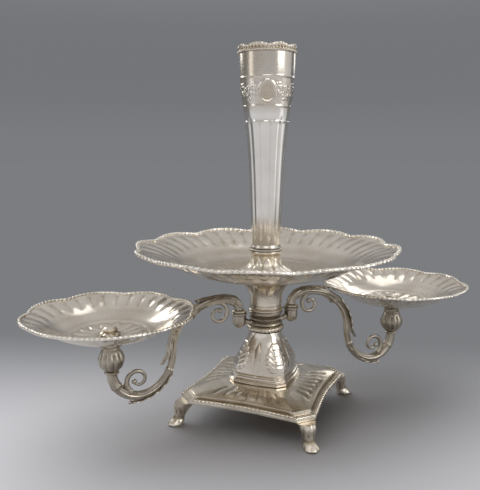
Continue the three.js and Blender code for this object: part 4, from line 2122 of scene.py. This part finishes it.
    def rosette(self) -> Thing:
        """The nut over the stud in the middle of the dish, a flower with a round eye.

        Returns:
            The piece.
        """
        line = [(4.35, 114.6), (4.35, 109.9), (10, 109.9), (10.6, 110.6), (10.4, 111.4), (8.6, 112.2),
                (7, 112.8), (6.8, 113.6), (7.4, 114.6), (7.2, 115.8), (6.2, 116.8), (4.6, 117.5),
                (2.4, 117.85)]
        thing = turned("rosette", line, 64)
        push(thing, fluting(8, 110.4, 112.2, 0.6, 5), -1.0 * MM)
        return moved(thing, (self.reach * MM, 0, 0))

    def build(self, dresser: Dresser) -> None:
        """Models and dresses both arms with their dishes.

        Args:
            dresser: what dresses the pieces.
        """
        self.casting(dresser)
        dresser.pair(self.peg(), CAST, Slot.WORN, "arm_peg")
        # The bulbs' plate is darker with painted shade, for the shade under the dishes.
        dresser.pair(self.bulb(), PAINTED_SHADE_PLATE, Slot.TARNISHED, "dish_cup")
        place = (self.reach * MM, 0, 0)
        dresser.pair(moved(DISH.shell(), place), POLISHED, Slot.SILVER, "dish")
        dresser.pair(moved(DISH.edging(), place), RUBBED, Slot.WORN, "dish_rim")
        dresser.pair(self.rosette(), CAST, Slot.WORN, "dish_boss")
        dresser.coat(TURNED_STEEL, "dish_stud_left", "dish_stud_right")


# Studio


@dataclass
class Studio:
    """The pale floor, the grey backdrop, the soft lights and the camera."""

    eye: Triple = (-0.2789, -0.5816, 0.2957)
    heading: Triple = (0.3870, 0.9077, -0.1623)
    focal_length: float = 43.65
    floor_radius: float = 12.0
    # Painted light falloff: the fade and its slant make the floor's colour paler near the camera and to the
    # left, and darker round and behind the object; its grey far part also stands for the backdrop.
    fade: Pair = (-0.20, 0.275)
    painted_light_slant: float = 0.09
    near_floor: Triple = (0.75, 0.75, 0.785)
    far_floor: Triple = (0.224, 0.228, 0.239)
    low_backdrop: Triple = (0.197, 0.201, 0.212)
    high_backdrop: Triple = (0.174, 0.178, 0.191)
    front_walls: Triple = (0.50, 0.50, 0.51)
    ceiling: Triple = (0.48, 0.48, 0.49)
    dark: Triple = (0.03, 0.03, 0.03)
    sky: Triple = (1.85, 1.85, 1.85)
    sky_way: Triple = (-0.10, 0.50, 0.86)
    aim: Triple = (0.0, 0.0, 0.15)
    lamps: Sequence[tuple[str, Triple, Pair, float]] = (
        ("overhead", (0.50, 0.10, 1.35), (0.6, 0.6), 1.1),
        ("key", (0.72, -1.12, 0.80), (0.7, 0.7), 4),
        ("right", (1.15, -0.50, 0.50), (1.1, 1.0), 1.4),
        ("left", (-1.20, 0.10, 0.70), (0.35, 0.9), 1.2),
        ("behind", (-0.50, 1.15, 0.75), (0.45, 0.4), 2.3),
        ("behind_right", (1.15, 0.80, 0.75), (0.5, 0.5), 1.2),
        ("front", (-0.50, -1.15, 1.20), (0.9, 0.5), 2.2),
    )

    def camera(self) -> None:
        """Stands the camera where the photograph was taken from."""
        data = bpy.data.cameras.new("camera")
        data.lens = self.focal_length
        data.sensor_width = 36
        data.clip_start = 0.01
        camera = bpy.data.objects.new("camera", data)
        bpy.context.scene.collection.objects.link(camera)
        camera.location = self.eye
        camera.rotation_euler = Vector(self.heading).to_track_quat("-Z", "Y").to_euler()
        bpy.context.scene.camera = camera

    def away(self) -> Vector:
        """The level direction from the camera to the object."""
        return Vector(self.heading[:2]).normalized()

    def floor(self) -> None:
        """A wide pale floor whose far part is grey, with painted light falloff in the fade and slant of its
        colour.
        """
        clear_selection()
        bpy.ops.mesh.primitive_circle_add(
            vertices=96, radius=self.floor_radius, fill_type="NGON", location=(0, 0, 0)
        )
        floor = settle(named(bpy.context.object, "floor"))
        material = new_material("paper_with_painted_falloff")
        tree = material.node_tree
        place = add_node(tree, "ShaderNodeTexCoord", {}).outputs["Object"]
        away = self.away()
        # The floor's colour is painted light falloff, paler near the camera and to the left.
        slanted = away + self.painted_light_slant * Vector((away.y, -away.x))
        depth = lean(tree, place, (*slanted, 0), *self.fade)
        shade(material, {
            "Roughness": 0.75,
            "Specular IOR Level": 0.0,
            "Base Color": blended(tree, depth, self.near_floor, self.far_floor),
        })
        floor.data.materials.append(material)

    def light(self, name: str, place: Sequence[float], size: Pair, power: float) -> None:
        """Adds a soft rectangular light that faces the object and shows in its metal.

        Args:
            name: the lamp's name.
            place: where it stands.
            size: its width and height.
            power: its power in watts.
        """
        data = bpy.data.lights.new(name, "AREA")
        data.shape = "RECTANGLE"
        data.size, data.size_y = size
        data.energy = power
        lamp = bpy.data.objects.new(name, data)
        bpy.context.scene.collection.objects.link(lamp)
        lamp.location = place
        lamp.visible_diffuse = False
        aim = Vector(self.aim) - Vector(place)
        lamp.rotation_euler = aim.to_track_quat("-Z", "Y").to_euler()

    def room(self) -> None:
        """A room that the camera and the metal see, grey behind the object, with light from above."""
        world = bpy.data.worlds.new("room")
        bpy.context.scene.world = world
        world.use_nodes = True
        tree = world.node_tree
        way = add_node(tree, "ShaderNodeTexCoord", {}).outputs["Generated"]
        away = self.away()
        up = (0, 0, 1)
        backdrop = blended(tree, lean(tree, way, up, 0.0, 0.11), self.low_backdrop, self.high_backdrop)
        near = lean(tree, way, (-away.x, -away.y, 0), -0.6, 0.9)
        walls = blended(tree, near, backdrop, self.front_walls)
        seen = blended(tree, lean(tree, way, up, 0.15, 0.6), walls, self.ceiling)
        fallen = blended(tree, lean(tree, way, self.sky_way, 0.3, 1.0), self.dark, self.sky)
        rays = add_node(tree, "ShaderNodeLightPath", {}).outputs
        looked = {0: rays["Is Camera Ray"], 1: rays["Is Glossy Ray"]}
        looked_at = add_node(tree, "ShaderNodeMath", looked, operation="MAXIMUM").outputs[0]
        feed(tree, tree.nodes["Background"].inputs["Color"], blended(tree, looked_at, fallen, seen))

    def build(self) -> None:
        """Builds the whole studio."""
        self.camera()
        self.floor()
        self.room()
        for lamp in self.lamps:
            self.light(*lamp)
        bpy.context.scene.view_settings.view_transform = "Standard"


def write_sizes() -> None:
    """Brings the view layer up to date."""
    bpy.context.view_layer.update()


def main() -> None:
    """Builds the studio and every piece in order."""
    logging.basicConfig(level=logging.INFO, format="%(message)s")
    dresser = Dresser()
    Studio().build()
    Base().build(dresser)
    Column().build(dresser)
    dresser.dress(BOWL.shell(), POLISHED, Slot.SILVER, "bowl", stain=BOWL.stain)
    dresser.dress(BOWL.edging(), RUBBED, Slot.WORN, "bowl_rim")
    Vase().build(dresser)
    Arm().build(dresser)
    write_sizes()


if __name__ == "__main__":
    main()
